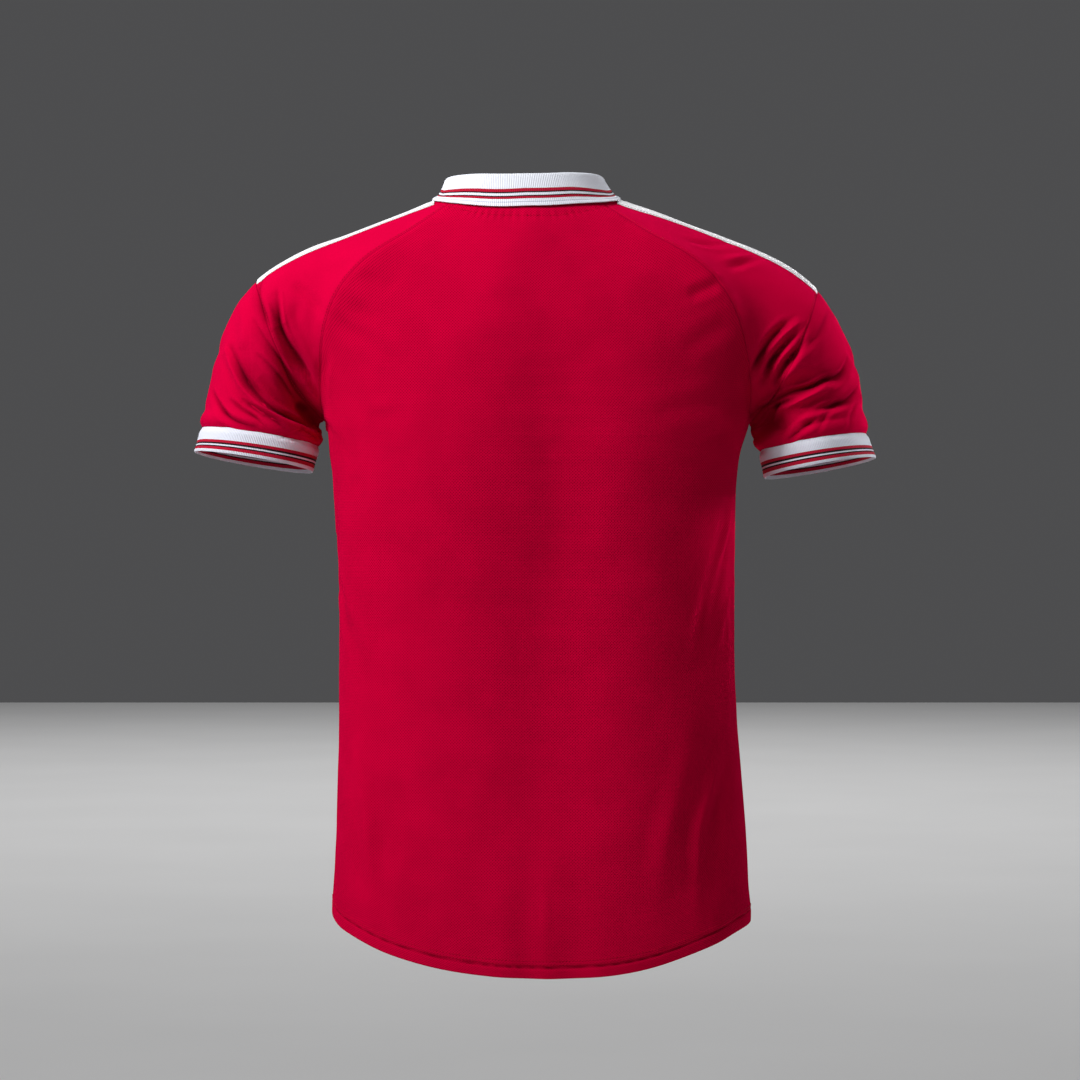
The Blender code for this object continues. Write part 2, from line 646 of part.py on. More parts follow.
def band_piece(arm, points, triangles):
    """White tape cut out of the shoulder panel's own faces and moved out on top of it."""
    draft = bmesh.new()
    corners = [draft.verts.new(point) for point in points]
    for triangle in triangles:
        draft.faces.new([corners[i] for i in triangle])
    start = NECK_SHIFT + arm.side * BAND_START
    end = arm.side * BAND_END
    run = end - start
    back, front = BAND_BACK[1] - BAND_BACK[0], BAND_FRONT[1] - BAND_FRONT[0]
    cuts = (
        ((start, BAND_BACK[0], 0), (back * arm.side, -run * arm.side, 0)),
        ((start, BAND_FRONT[0], 0), (-front * arm.side, run * arm.side, 0)),
        ((start, 0, 0), (-arm.side, 0, 0)), ((end, 0, 0), (arm.side, 0, 0)),
        ((0, 0, BAND_LOWEST), (0, 0, -1)),
    )
    for place, away in cuts:
        everything = draft.verts[:] + draft.edges[:] + draft.faces[:]
        bmesh.ops.bisect_plane(draft, geom=everything, plane_co=place, plane_no=away, clear_outer=True)
    bmesh.ops.remove_doubles(draft, verts=draft.verts, dist=SLIVER)
    bmesh.ops.triangulate(draft, faces=draft.faces)
    loose = [vertex for vertex in draft.verts if not vertex.link_faces]
    bmesh.ops.delete(draft, geom=loose, context="VERTS")
    draft.verts.index_update()
    kept = np.array([vertex.co[:] for vertex in draft.verts])
    faces = [tuple(vertex.index for vertex in face.verts) for face in draft.faces]
    draft.free()
    depth = np.full(len(kept), BAND_CLOTH)
    tape = wall(kept, normals_of(kept, faces), faces, depth, lift=SEAM_GAP + BAND_CLOTH)
    return piece(f"shoulder_stripe_{arm.name}", *tape, "tape")


def build():
    for leftover in list(bpy.data.objects):
        bpy.data.objects.remove(leftover)
    points, squares, panels = smooth_skin(build_cage(), levels=1)
    triangles = halves(points, squares)
    owners = [panel for panel in panels for _ in range(2)]
    points = press_folds(points, normals_of(points, triangles))
    normals = wall_directions(points, triangles)
    depth = np.full(len(points), CLOTH)
    for triangle, owner in zip(triangles, owners):
        if owner.endswith(HEM):
            depth[list(triangle)] = HEM_CLOTH
        if owner.startswith("cuff"):
            depth[list(triangle)] = RIB
    tree = BVHTree.FromPolygons([tuple(point) for point in points], triangles)
    for name, finish in PANELS.items():
        sheet = [face for face, owner in zip(triangles, owners) if owner.removesuffix(HEM) == name]
        piece(name, *wall(points, normals, sheet, depth), finish)
    collar_piece(tree)
    for arm in ARMS:
        name = f"shoulder_panel_{arm.name}"
        band_piece(arm, points, [face for face, owner in zip(triangles, owners) if owner == name])


build()
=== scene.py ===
"""Dresses the football jersey: thin knit cloth with its worn creases, seams, rib and tape.

The frame's solids carry the shape. The same skin is drawn finer here, creases are pressed into
it, and every panel becomes a thin shell of cloth that stands for its solid. The wearer faces +Y,
+X is the wearer's right and +Z is up; all sizes are in metres unless a name says otherwise.
"""
from __future__ import annotations

import logging
from collections.abc import Iterable, Sequence
from dataclasses import dataclass, field
from enum import Enum
from math import cos, exp, pi, radians, sin
from typing import NamedTuple

import bpy
import numpy as np
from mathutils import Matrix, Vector, noise
from mathutils.bvhtree import BVHTree
from mathutils.kdtree import KDTree

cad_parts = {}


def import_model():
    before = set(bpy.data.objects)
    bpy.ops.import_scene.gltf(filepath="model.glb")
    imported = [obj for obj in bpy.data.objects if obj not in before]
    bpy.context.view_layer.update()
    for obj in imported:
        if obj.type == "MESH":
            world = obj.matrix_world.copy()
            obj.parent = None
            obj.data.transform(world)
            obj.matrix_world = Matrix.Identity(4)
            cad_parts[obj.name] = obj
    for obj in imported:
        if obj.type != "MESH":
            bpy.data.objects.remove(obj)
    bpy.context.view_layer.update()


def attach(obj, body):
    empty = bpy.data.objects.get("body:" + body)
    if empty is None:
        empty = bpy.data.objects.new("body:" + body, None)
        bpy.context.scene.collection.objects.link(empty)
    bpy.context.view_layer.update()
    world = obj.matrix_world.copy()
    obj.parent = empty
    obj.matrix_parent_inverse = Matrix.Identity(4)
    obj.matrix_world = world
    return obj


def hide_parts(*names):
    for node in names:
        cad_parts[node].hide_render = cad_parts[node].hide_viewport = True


LOG = logging.getLogger("jersey")
MM = 0.001
EYE_DISTANCE = 3.2      # how far the camera is, and the place from where creases are laid
EYE_HEIGHT = -0.3247
LAYING_PLANE = 0.10     # how far out the upright plane is on which places of creases are counted
FRAME_MIDDLE = (537, 540)
FRAME_SQUARE = 0.925    # one square of the camera's frame on that plane, in millimetres
NECK_STEP = 0.01        # step along the neck edge over which its direction is measured
Point = tuple[float, float, float]
Pair = tuple[float, float]
SeamEdge = tuple[int, int, frozenset[str]]      # two points of a seam, and the panels it joins
Socket = bpy.types.NodeSocket
Signal = Socket | float
Colour = Socket | Sequence[float]


# ---------------------------------------------------------------- the form's tables
class Section(NamedTuple):
    """Level section of the body: where its sides, back and front are, and how square it is."""
    height: float
    left: float
    right: float
    back: float
    front: float
    square: float


class YokeRow(NamedTuple):
    """Row of the yoke: raglan points, ridge and centre points around a leaning centre line."""
    shift: float
    raglan_back: Point
    raglan_front: Point
    ridge: float
    ridge_left: float
    ridge_right: float
    back: Pair
    front: Pair


class Arm(NamedTuple):
    """Sleeve: top of its head, outer outline and the two rings of the cuff, as (x, height)."""
    name: str
    side: int
    head: Pair
    outline: tuple[Pair, ...]
    cuff_top: tuple[Pair, Pair]
    cuff_end: tuple[Pair, Pair]


class Fold(NamedTuple):
    """Broad fold of the body, which the solids have too: three points (x, height)."""
    side: int
    start: Pair
    middle: Pair
    end: Pair
    width: float
    depth: float


class Place(NamedTuple):
    """Shape of the collar, and spread of its stripes, at one place around the neck."""
    place: float
    rise: float
    lean: float
    reach: float
    flare: float
    spread: float


ARMPIT = -0.214
SECTIONS = (
    #       height   left    right   back   front  square
    Section(ARMPIT, -0.2030, 0.2030, 0.121, 0.118, 2.45),
    Section(-0.245, -0.1965, 0.1930, 0.121, 0.117, 2.50),
    Section(-0.300, -0.1920, 0.1890, 0.118, 0.114, 2.50),
    Section(-0.370, -0.1885, 0.1885, 0.112, 0.110, 2.45),
    Section(-0.440, -0.1880, 0.1875, 0.109, 0.107, 2.40),
    Section(-0.520, -0.1890, 0.1930, 0.110, 0.107, 2.40),
    Section(-0.595, -0.1910, 0.1985, 0.114, 0.110, 2.40),
    Section(-0.648, -0.1935, 0.2015, 0.117, 0.112, 2.40),
)
HEM_SECTION = Section(0, -0.1945, 0.2035, 0.118, 0.112, 2.40)
YOKE = (
    YokeRow(-0.0085, (0.109, -0.068, -0.034), (0.106, 0.063, -0.047), 0.115,
            -0.0125, -0.010, (-0.087, -0.036), (0.103, -0.118)),
    YokeRow(-0.0070, (0.143, -0.078, -0.055), (0.139, 0.082, -0.074), 0.147,
            -0.0245, -0.0235, (-0.102, -0.067), (0.108, -0.138)),
    YokeRow(-0.0055, (0.173, -0.082, -0.082), (0.167, 0.088, -0.103), 0.179,
            -0.0358, -0.0355, (-0.112, -0.101), (0.112, -0.158)),
    YokeRow(-0.0040, (0.193, -0.076, -0.120), (0.187, 0.080, -0.138), 0.210,
            -0.0460, -0.0475, (-0.118, -0.138), (0.115, -0.177)),
    YokeRow(-0.0015, (0.202, -0.050, -0.168), (0.199, 0.052, -0.178), 0.240,
            -0.0595, -0.0640, (-0.120, -0.176), (0.117, -0.196)),
)
NECK_BACK = ((0, -0.068, -0.008), (0.048, -0.068, -0.008), (0.0765, -0.040, 0.0010), (0.0765, 0, 0.0036))
NECK_FRONT = ((0.0765, 0, 0.0036), (0.0765, 0.028, -0.002), (0.050, 0.066, -0.046), (0, 0.097, -0.097))
ARMS = (
    Arm("right", 1, (0.2670, -0.0870), ((0.288, -0.118), (0.303, -0.152), (0.310, -0.189)),
        ((0.3160, -0.2235), (0.2120, -0.2407)), ((0.3237, -0.2464), (0.2168, -0.2655))),
    Arm("left", -1, (-0.2680, -0.0780), ((-0.291, -0.109), (-0.304, -0.144), (-0.313, -0.181)),
        ((-0.3209, -0.2177), (-0.2090, -0.2355)), ((-0.3276, -0.2407), (-0.2140, -0.2598))),
)
HEAD_BACK = ((0.032, -0.060, 0.028), (-0.006, -0.098, -0.020))
HEAD_FRONT = ((0.032, 0.055, 0.028), (-0.006, 0.086, -0.022))
FOLDS = (
    Fold(-1, (0.014, -0.080), (0.020, -0.300), (0.006, -0.560), 0.048, 0.009),
    Fold(-1, (0.190, -0.330), (0.168, -0.385), (0.154, -0.435), 0.016, 0.004),
    Fold(-1, (0.178, -0.500), (0.160, -0.555), (0.152, -0.640), 0.016, 0.004),
    Fold(-1, (-0.163, -0.510), (-0.162, -0.580), (-0.160, -0.660), 0.018, -0.004),
    Fold(1, (-0.186, -0.330), (-0.160, -0.395), (-0.150, -0.455), 0.018, 0.004),
    Fold(1, (0.172, -0.470), (0.152, -0.545), (0.148, -0.640), 0.018, 0.004),
)
COLLAR_PLACES = (
    #     place   rise     lean    reach  flare spread
    Place(0.00, 0.0236, -0.0085, 0.0078, 0.00, 1.20),
    Place(0.35, 0.0223, -0.0070, 0.0098, 0.25, 1.16),
    Place(0.60, 0.0191, -0.0060, 0.0136, 0.70, 1.08),
    Place(0.80, 0.0162, -0.0050, 0.0150, 0.80, 0.97),
    Place(1.00, 0.0132, -0.0040, 0.0125, 0.50, 0.82),
    Place(1.30, 0.0115, -0.0020, 0.0215, 0.40, 0.85),
    Place(1.65, 0.0100, -0.0010, 0.0350, 0.20, 1.00),
    Place(2.00, 0.0065, 0.0020, 0.0520, 0.00, 1.00),
)


class Side(Enum):
    """Side from which a crease is laid on the cloth: away from it, across, and up in its view."""
    BACK = ((0, -1, 0), (1, 0, 0), (0, 0, 1))
    FRONT = ((0, 1, 0), (1, 0, 0), (0, 0, 1))
    RIGHT = ((1, 0, 0), (0, 1, 0), (0, 0, 1))
    LEFT = ((-1, 0, 0), (0, 1, 0), (0, 0, 1))


class Crease(NamedTuple):
    """Trough of the worn cloth, or a ridge where the depth is below zero, in millimetres.

    A lean above zero makes the wall on the line's left the steeper one. Crisp creases have a
    sharp bottom. Shade is painted into the cloth's colour along deep creases: evenly, or trailing
    off on the line's left where the tail is above zero and on its right where it is below.
    """
    width: float
    depth: float
    line: tuple[Pair, ...]
    lean: float = 0.0
    crisp: bool = False
    tail: float = 0.0
    side: Side = Side.BACK


def framed(*places: Pair) -> tuple[Pair, ...]:
    """Places across and down the camera's frame of 1080 squares, in millimetres on the laying plane."""
    return tuple(((x - FRAME_MIDDLE[0]) * FRAME_SQUARE, EYE_HEIGHT / MM - (y - FRAME_MIDDLE[1]) * FRAME_SQUARE)
                 for x, y in places)


def stroke(width: float, depth: float, *places: Pair, lean: float = 0.0,
           tail: float = 0.0) -> Crease:
    """Crisp crease on the back, through places in the camera's frame."""
    return Crease(width, depth, framed(*places), lean, True, tail)


def swell(width: float, depth: float, *places: Pair, lean: float = 0.0) -> Crease:
    """Soft crease on the back, through places in the camera's frame."""
    return Crease(width, depth, framed(*places), lean)


# Creases that are seen from the back.
CREASES = (
    # left sleeve, from its head down
    stroke(3.0, 2.6, (261, 282), (258, 290), (259, 300), (263, 310), (268, 320), (271, 330), tail=-1),
    swell(9.0, 5.0, (281, 322), (288, 338), (297, 356), (306, 371), (312, 382), lean=0.45),
    stroke(3.4, 4.6, (277, 295), (278, 310), (279, 320), (282, 330), (287, 340), (293, 350), (299, 360), (304, 368),
           (309, 375), lean=0.3, tail=-1),
    swell(4.5, 2.4, (292, 281), (300, 288), (308, 295), (315, 303), (321, 312)),
    swell(5.0, 1.4, (297, 295), (296, 315), (298, 335)),
    swell(9.0, 2.0, (258, 330), (270, 346), (284, 366), (296, 386), (306, 400), lean=0.5),
    swell(10.0, 4.0, (284, 366), (296, 386), (306, 400), (316, 413), (328, 428), (334, 436), lean=0.5),
    stroke(3.0, 2.6, (255, 322), (262, 335), (268, 344), (275, 352), (282, 361), (288, 372), (294, 382), (300, 393),
           (308, 404), (316, 413), (324, 420), (330, 430), lean=0.4, tail=-1),
    stroke(3.0, 2.8, (262, 358), (270, 365), (277, 373), (283, 381), (290, 390), (298, 398), (305, 405),
           lean=0.3, tail=-1),
    swell(6.0, 3.6, (258, 375), (265, 385), (272, 392), (280, 399), (290, 406), (300, 412), (310, 418), (318, 424)),
    swell(8.0, 3.4, (236, 346), (243, 362), (252, 380), (264, 396), (280, 409), (298, 419), lean=-0.2),
    stroke(3.4, -4.0, (227, 352), (231, 362), (236, 372), (241, 382), (247, 391), (255, 399), (262, 406), (271, 413),
           (280, 418), (290, 422), (300, 426), (308, 429), lean=0.5),
    stroke(3.0, 4.4, (231, 350), (235, 361), (240, 371), (245, 381), (251, 389), (259, 396), (265, 403), (274, 410),
           (282, 415), (292, 419), (302, 423), (310, 426), tail=1),
    stroke(3.0, 3.4, (214, 395), (217, 402), (222, 410), (229, 417), (236, 421), (245, 424), (252, 426), lean=0.3),
    stroke(2.4, 2.4, (233, 402), (241, 409), (250, 414), (258, 419), (265, 426), lean=0.3),
    stroke(2.4, 2.4, (245, 402), (255, 408), (265, 414), (275, 420), (283, 427), lean=0.3),
    stroke(2.4, 1.0, (248, 381), (257, 390), (266, 399)),
    stroke(4.5, 3.4, (298, 402), (308, 410), (316, 418), (324, 428)),
    stroke(2.2, 1.6, (296, 426), (304, 432), (314, 438)),
    swell(9.0, 4.0, (303, 414), (318, 428), (328, 442)),
    swell(8.0, -2.4, (239, 300), (246, 330), (243, 352)),
    # right sleeve, from its head down
    stroke(3.4, -4.2, (796, 325), (790, 330), (783, 335), (777, 341), (771, 347), (766, 353), (762, 357)),
    stroke(3.8, 4.4, (783, 328), (775, 335), (768, 345), (760, 357), (752, 373)),
    stroke(3.4, 4.4, (791, 337), (785, 345), (778, 353), (771, 362), (763, 380)),
    stroke(3.0, -3.6, (795, 345), (784, 355), (776, 367), (772, 375)),
    stroke(3.6, 4.0, (800, 345), (794, 354), (787, 362), (776, 380)),
    swell(5.5, -2.8, (817, 345), (803, 358), (790, 373), (778, 388)),
    stroke(3.0, 1.4, (828, 312), (824, 324), (817, 336), (808, 346)),
    swell(7.0, 3.6, (846, 362), (838, 373), (820, 377), (800, 384), (780, 392), (760, 404)),
    stroke(3.4, 5.6, (848, 360), (846, 367), (842, 374), (838, 378), (832, 378), (826, 379), (820, 384), (813, 388),
           (805, 390), (797, 392), (788, 394), (780, 397), (772, 401), (766, 407), (760, 412), (752, 418),
           lean=-0.3, tail=-1),
    stroke(3.0, 4.2, (790, 400), (782, 403), (775, 406), (768, 410)),
    stroke(3.0, -3.4, (830, 382), (822, 388), (815, 393), (807, 397), (800, 401), (793, 405)),
    swell(3.4, 2.4, (838, 385), (830, 392), (822, 396), (812, 401), (803, 405)),
    swell(5.0, 2.4, (860, 384), (848, 396), (832, 403), (815, 409)),
    stroke(3.2, 4.4, (858, 388), (855, 394), (850, 398), (845, 402), (837, 404), (830, 407), (820, 409),
           lean=-0.3, tail=-1),
    swell(4.0, -2.6, (838, 408), (825, 412), (815, 416), (805, 420), (797, 425)),
    stroke(3.2, 3.6, (815, 420), (805, 426), (797, 432), (790, 437)),
    stroke(2.4, 1.2, (832, 408), (825, 417), (819, 429)),
    stroke(2.4, 1.0, (856, 404), (851, 415), (848, 428)),
    swell(12.0, 8.0, (752, 405), (768, 420), (790, 436)),
    # shoulders and the back
    Crease(4.0, -1.2, ((172, -66), (184, -64), (197, -62))),
    Crease(4.0, 1.2, ((137, -47), (158, -52), (178, -50))),
    Crease(4.2, 1.4, ((174, -74), (190, -69), (205, -65))),
    Crease(7.0, 1.4, ((-164, -76), (-149, -84), (-129, -92))),
    Crease(6.0, 1.7, ((-186, -96), (-169, -109), (-144, -124))),
    Crease(7.0, 1.3, ((-190, -113), (-166, -134), (-139, -152), (-116, -164))),
    Crease(6.0, -0.9, ((-159, -201), (-140, -201), (-121, -199))),
    Crease(6.0, 2.2, ((-196, -150), (-197, -172), (-196, -192))),
    Crease(5.0, 2.2, ((170, -85), (157, -92), (139, -99))),
    Crease(8.0, 1.2, ((182, -123), (159, -134), (134, -149))),
    Crease(8.0, 1.2, ((188, -193), (147, -200), (109, -207))),
    Crease(7.0, 1.2, ((182, -221), (165, -229), (147, -237))),
    Crease(5.0, -2.4, ((181, -271), (177, -310), (161, -370), (153, -417))),
    Crease(4.0, -1.8, ((183, -362), (171, -401), (166, -428))),
    Crease(9.0, 2.4, ((172, -330), (158, -381), (145, -436))),
    Crease(6.0, -2.2, ((172, -505), (161, -551), (149, -591), (147, -664))),
    Crease(8.0, 2.2, ((180, -518), (168, -575), (162, -664))),
    Crease(9.0, -1.3, ((141, -516), (125, -575), (117, -610), (109, -670))),
    Crease(7.0, -1.8, ((-167, -524), (-159, -571), (-153, -630), (-151, -672))),
    Crease(8.0, 2.4, ((-186, -262), (-184, -354), (-178, -400), (-160, -440))),
    Crease(2.6, -0.8, ((9, -630), (8, -668), (7, -706))),
)
# Creases that only the other sides have: chest, belly, and the outer side of each sleeve.
OTHER_CREASES = (
    Crease(9.0, 1.8, ((-150, -160), (-110, -190), (-60, -214)), side=Side.FRONT),
    Crease(8.0, 1.5, ((146, -168), (104, -190), (58, -206)), side=Side.FRONT),
    Crease(12.0, 1.6, ((-60, -330), (-10, -342), (52, -334)), side=Side.FRONT),
    Crease(10.0, -1.4, ((-96, -430), (-104, -520), (-98, -640)), side=Side.FRONT),
    Crease(11.0, 1.7, ((62, -452), (72, -540), (66, -650)), side=Side.FRONT),
    Crease(9.0, 1.3, ((8, -520), (0, -590), (4, -672)), side=Side.FRONT),
    Crease(6.0, 1.6, ((-26, -128), (-4, -146), (22, -152)), side=Side.RIGHT),
    Crease(5.0, 1.4, ((-18, -186), (8, -194), (30, -190)), side=Side.RIGHT),
    Crease(6.0, 1.7, ((-24, -120), (2, -138), (26, -150)), side=Side.LEFT),
    Crease(5.0, 1.3, ((-22, -188), (4, -196), (28, -187)), side=Side.LEFT),
    Crease(9.0, 2.0, ((-34, -330), (-20, -420), (-30, -520)), side=Side.RIGHT),
    Crease(9.0, 2.0, ((26, -316), (14, -400), (30, -512)), side=Side.LEFT),
)


# ---------------------------------------------------------------- lines and searches
def lengths_along(line: np.ndarray) -> np.ndarray:
    """Distance of each point of a line from its start, along the line."""
    return np.append(0, np.linalg.norm(np.diff(line, axis=0), axis=1).cumsum())


def smooth(rows: np.ndarray, times: int) -> None:
    """Even rows of numbers out in place, each between its neighbours; the ends stay."""
    for _ in range(times):
        rows[1:-1] = (rows[:-2] + 2 * rows[1:-1] + rows[2:]) / 4


def unit(vectors: np.ndarray) -> np.ndarray:
    """Directions of vectors, each of length 1."""
    return vectors / np.linalg.norm(vectors, axis=-1, keepdims=True)


def search_tree(points: np.ndarray, numbers: Sequence[int]) -> KDTree:
    """Search tree of numbered points.

    Args:
        points: The points.
        numbers: Number of each.

    Returns:
        The tree.
    """
    tree = KDTree(len(points))
    for point, number in zip(points, numbers):
        tree.insert(point, number)
    tree.balance()
    return tree


# ---------------------------------------------------------------- curves and cages
def cubic(points: Sequence[Point], t: float) -> np.ndarray:
    """Point at 0 to 1 of a cubic curve, which has a first point, two pulls and a last point."""
    weights = ((1 - t) ** 3, 3 * t * (1 - t) ** 2, 3 * t * t * (1 - t), t ** 3)
    return sum(weight * np.array(point, float) for weight, point in zip(weights, points))


def neck_edge(t: float, shift: float) -> np.ndarray:
    """Point of the neck edge.

    Args:
        t: 0 at the centre back, 1 on the right ridge and 2 at the point of the V.
        shift: Lean of the neck to the side.

    Returns:
        The point.
    """
    half = abs(t)
    across, depth, height = cubic(NECK_BACK, half) if half <= 1 else cubic(NECK_FRONT, half - 1)
    return np.array((shift + (across if t > 0 else -across), depth, height))


def neck_ahead(t: float, shift: float) -> Vector:
    """Direction along the neck edge, at a place as for the edge itself."""
    return Vector(neck_edge(t + NECK_STEP, shift)) - Vector(neck_edge(t - NECK_STEP, shift))


class Cage:
    """Corner points of the skin, and the grids of points that make each panel."""

    def __init__(self) -> None:
        """Start empty."""
        self.points: list[np.ndarray | None] = []
        self.grids: dict[str, list[list[int]]] = {}

    def add(self, point: np.ndarray | None = None) -> int:
        """Add a point, or a free one that stretching places, and give its number."""
        self.points.append(point)
        return len(self.points) - 1

    def faces(self) -> tuple[list[tuple[int, ...]], list[str], list[tuple[int, int]]]:
        """Faces of all grids, seen from outside.

        Returns:
            Faces, the panel of each, and each one's row and column in its grid.
        """
        faces, owners, cells = [], [], []
        for name, grid in self.grids.items():
            for i in range(len(grid) - 1):
                for j in range(len(grid[0]) - 1):
                    faces.append((grid[i][j], grid[i + 1][j], grid[i + 1][j + 1], grid[i][j + 1]))
                    owners.append(name)
                    cells.append((i, j))
        return faces, owners, cells

    def flat_places(self, name: str) -> np.ndarray:
        """Places of a panel's points on the flat cloth, measured over the skin.

        Args:
            name: The panel.

        Returns:
            Array of rows, columns and (across, down).
        """
        grid = np.array([[self.points[i] for i in row] for row in self.grids[name]])
        middle = grid.shape[1] // 2
        across = np.linalg.norm(np.diff(grid, axis=1), axis=2).cumsum(axis=1)
        across = np.hstack((np.zeros((len(grid), 1)), across))
        across -= across[:, middle:middle + 1]
        down = lengths_along(grid[:, middle])
        return np.dstack((across, np.broadcast_to(down[-1] - down[:, None], across.shape)))


@dataclass
class Squares:
    """Square faces with the panel of each and its corners' places on the flat cloth."""
    quads: np.ndarray
    owners: np.ndarray
    flat: np.ndarray

    def of(self, panel: str) -> tuple[np.ndarray, np.ndarray]:
        """Faces of one panel and their corners' flat places."""
        chosen = self.owners == panel
        return self.quads[chosen], self.flat[chosen].copy()


@dataclass
class Skin:
    """Skin of the whole jersey: coarse squares for the cloth's inner side and fine ones outside."""
    points: np.ndarray
    lining: Squares
    outer: Squares = field(init=False)
    parents: np.ndarray = field(init=False)
    normals: np.ndarray = field(init=False)
    pushed: np.ndarray = field(init=False)
    # painted shade at each point, 0 to 1: darkens the cloth's colour along creases and the hem
    shade: np.ndarray = field(init=False)
    tree: BVHTree = field(init=False)
    middles: dict[tuple[int, int], int] = field(default_factory=dict)

    def __post_init__(self) -> None:
        """Start with the coarse squares outside too."""
        self.outer = self.lining
        self.parents = np.arange(len(self.lining.quads))
        self.refresh()

    def refresh(self) -> None:
        """Work the outward directions and the search tree out after a change of shape."""
        quads = self.outer.quads
        corners = self.points[quads]
        facing = np.cross(corners[:, 2] - corners[:, 0], corners[:, 3] - corners[:, 1])
        normals = np.zeros_like(self.points)
        for corner in range(4):
            np.add.at(normals, quads[:, corner], facing)
        self.normals = unit(normals)
        self.tree = BVHTree.FromPolygons(self.points.tolist(), quads.tolist())

    def bulge(self, first: np.ndarray, last: np.ndarray) -> np.ndarray:
        """How far a round surface rises over the middle between points."""
        run = self.points[last] - self.points[first]
        return (run * (self.normals[last] - self.normals[first])).sum(axis=1)[:, None] / 8

    def split(self, panels: Sequence[str]) -> None:
        """Split the outer squares of some panels in four each, keeping the surface round.

        Args:
            panels: The panels' names.
        """
        chosen = np.isin(self.outer.owners, panels)
        quads, flat = self.outer.quads[chosen], self.outer.flat[chosen]
        count = len(self.points)
        starts, ends = quads.ravel(), np.roll(quads, -1, axis=1).ravel()
        keys, which = np.unique(np.minimum(starts, ends) * count + np.maximum(starts, ends), return_inverse=True)
        low, high = keys // count, keys % count
        facing = unit(self.normals[low] + self.normals[high])
        middles = (self.points[low] + self.points[high]) / 2 + facing * self.bulge(low, high)
        a, b, c, d = quads.T
        rise = (self.bulge(a, c) + self.bulge(b, d)) / 2
        centres = self.points[quads].mean(axis=1) + unit(self.normals[quads].sum(axis=1)) * rise
        self.middles.update(zip(zip(low.tolist(), high.tolist()), range(count, count + len(keys))))
        ab, bc, cd, da = (which.reshape(-1, 4) + count).T
        m = np.arange(len(quads)) + count + len(keys)
        children = np.stack((a, ab, m, da, ab, b, bc, m, m, bc, c, cd, da, m, cd, d), axis=1).reshape(-1, 4)
        f = flat
        fab, fbc, fcd, fda = ((f[:, i] + f[:, (i + 1) % 4]) / 2 for i in range(4))
        fm = f.mean(axis=1)
        spread = (f[:, 0], fab, fm, fda, fab, f[:, 1], fbc, fm, fm, fbc, f[:, 2], fcd, fda, fm, fcd, f[:, 3])
        places = np.stack(spread, axis=1).reshape(-1, 4, 2)
        others = ~chosen
        self.outer = Squares(np.vstack((self.outer.quads[others], children)),
                             np.append(self.outer.owners[others], np.repeat(self.outer.owners[chosen], 4)),
                             np.vstack((self.outer.flat[others], places)))
        self.parents = np.append(self.parents[others], np.repeat(self.parents[chosen], 4))
        self.points = np.vstack((self.points, middles, centres))
        self.refresh()

    def chain(self, a: int, b: int, panel_points: set[int]) -> list[int]:
        """Points of the outer side along a coarse edge of one panel, both ends included."""
        middle = self.middles.get((min(a, b), max(a, b)))
        if middle is None or middle not in panel_points:
            return [a, b]
        return self.chain(a, middle, panel_points)[:-1] + self.chain(middle, b, panel_points)

    def push(self, distance: np.ndarray) -> None:
        """Move each point outwards by its own distance."""
        self.points = self.points + self.normals * distance[:, None]
        self.pushed = self.pushed + distance
        self.refresh()

    def deepest(self) -> np.ndarray:
        """How far each coarse point has to go in for the inner side to stay inside everywhere."""
        pushed = self.pushed[self.outer.quads].min(axis=1)
        lowest = np.full(len(self.lining.quads), np.inf)
        np.minimum.at(lowest, self.parents, pushed)
        deepest = self.pushed.copy()
        for corner in range(4):
            np.minimum.at(deepest, self.lining.quads[:, corner], lowest)
        return self.pushed - deepest

    def nearest(self, point: Iterable[float]) -> tuple[Vector, Vector]:
        """Nearest place on the skin, and its outward direction."""
        place, facing, _, _ = self.tree.find_nearest(Vector(point))
        return place, facing

    def seen_from(self, side: Side, across: float, up: float) -> tuple[Vector, Vector] | None:
        """Place on the skin that is seen from one side.

        Args:
            side: The side.
            across: Distance across, on the laying plane.
            up: Height on it.

        Returns:
            The place and its outward direction, or None past the cloth.
        """
        away, right, top = (Vector(axis) for axis in side.value)
        eye = away * EYE_DISTANCE + top * EYE_HEIGHT
        sight = away * LAYING_PLANE + right * across + top * up - eye
        place, facing, _, _ = self.tree.ray_cast(eye, sight)
        return None if place is None else (place, facing if facing.dot(sight) < 0 else -facing)


class Neighbours(NamedTuple):
    """Neighbours of each point of the cage: along edges, across faces and along open edges."""
    along: list[set[int]]
    across: list[list[int]]
    rim: list[list[int]]


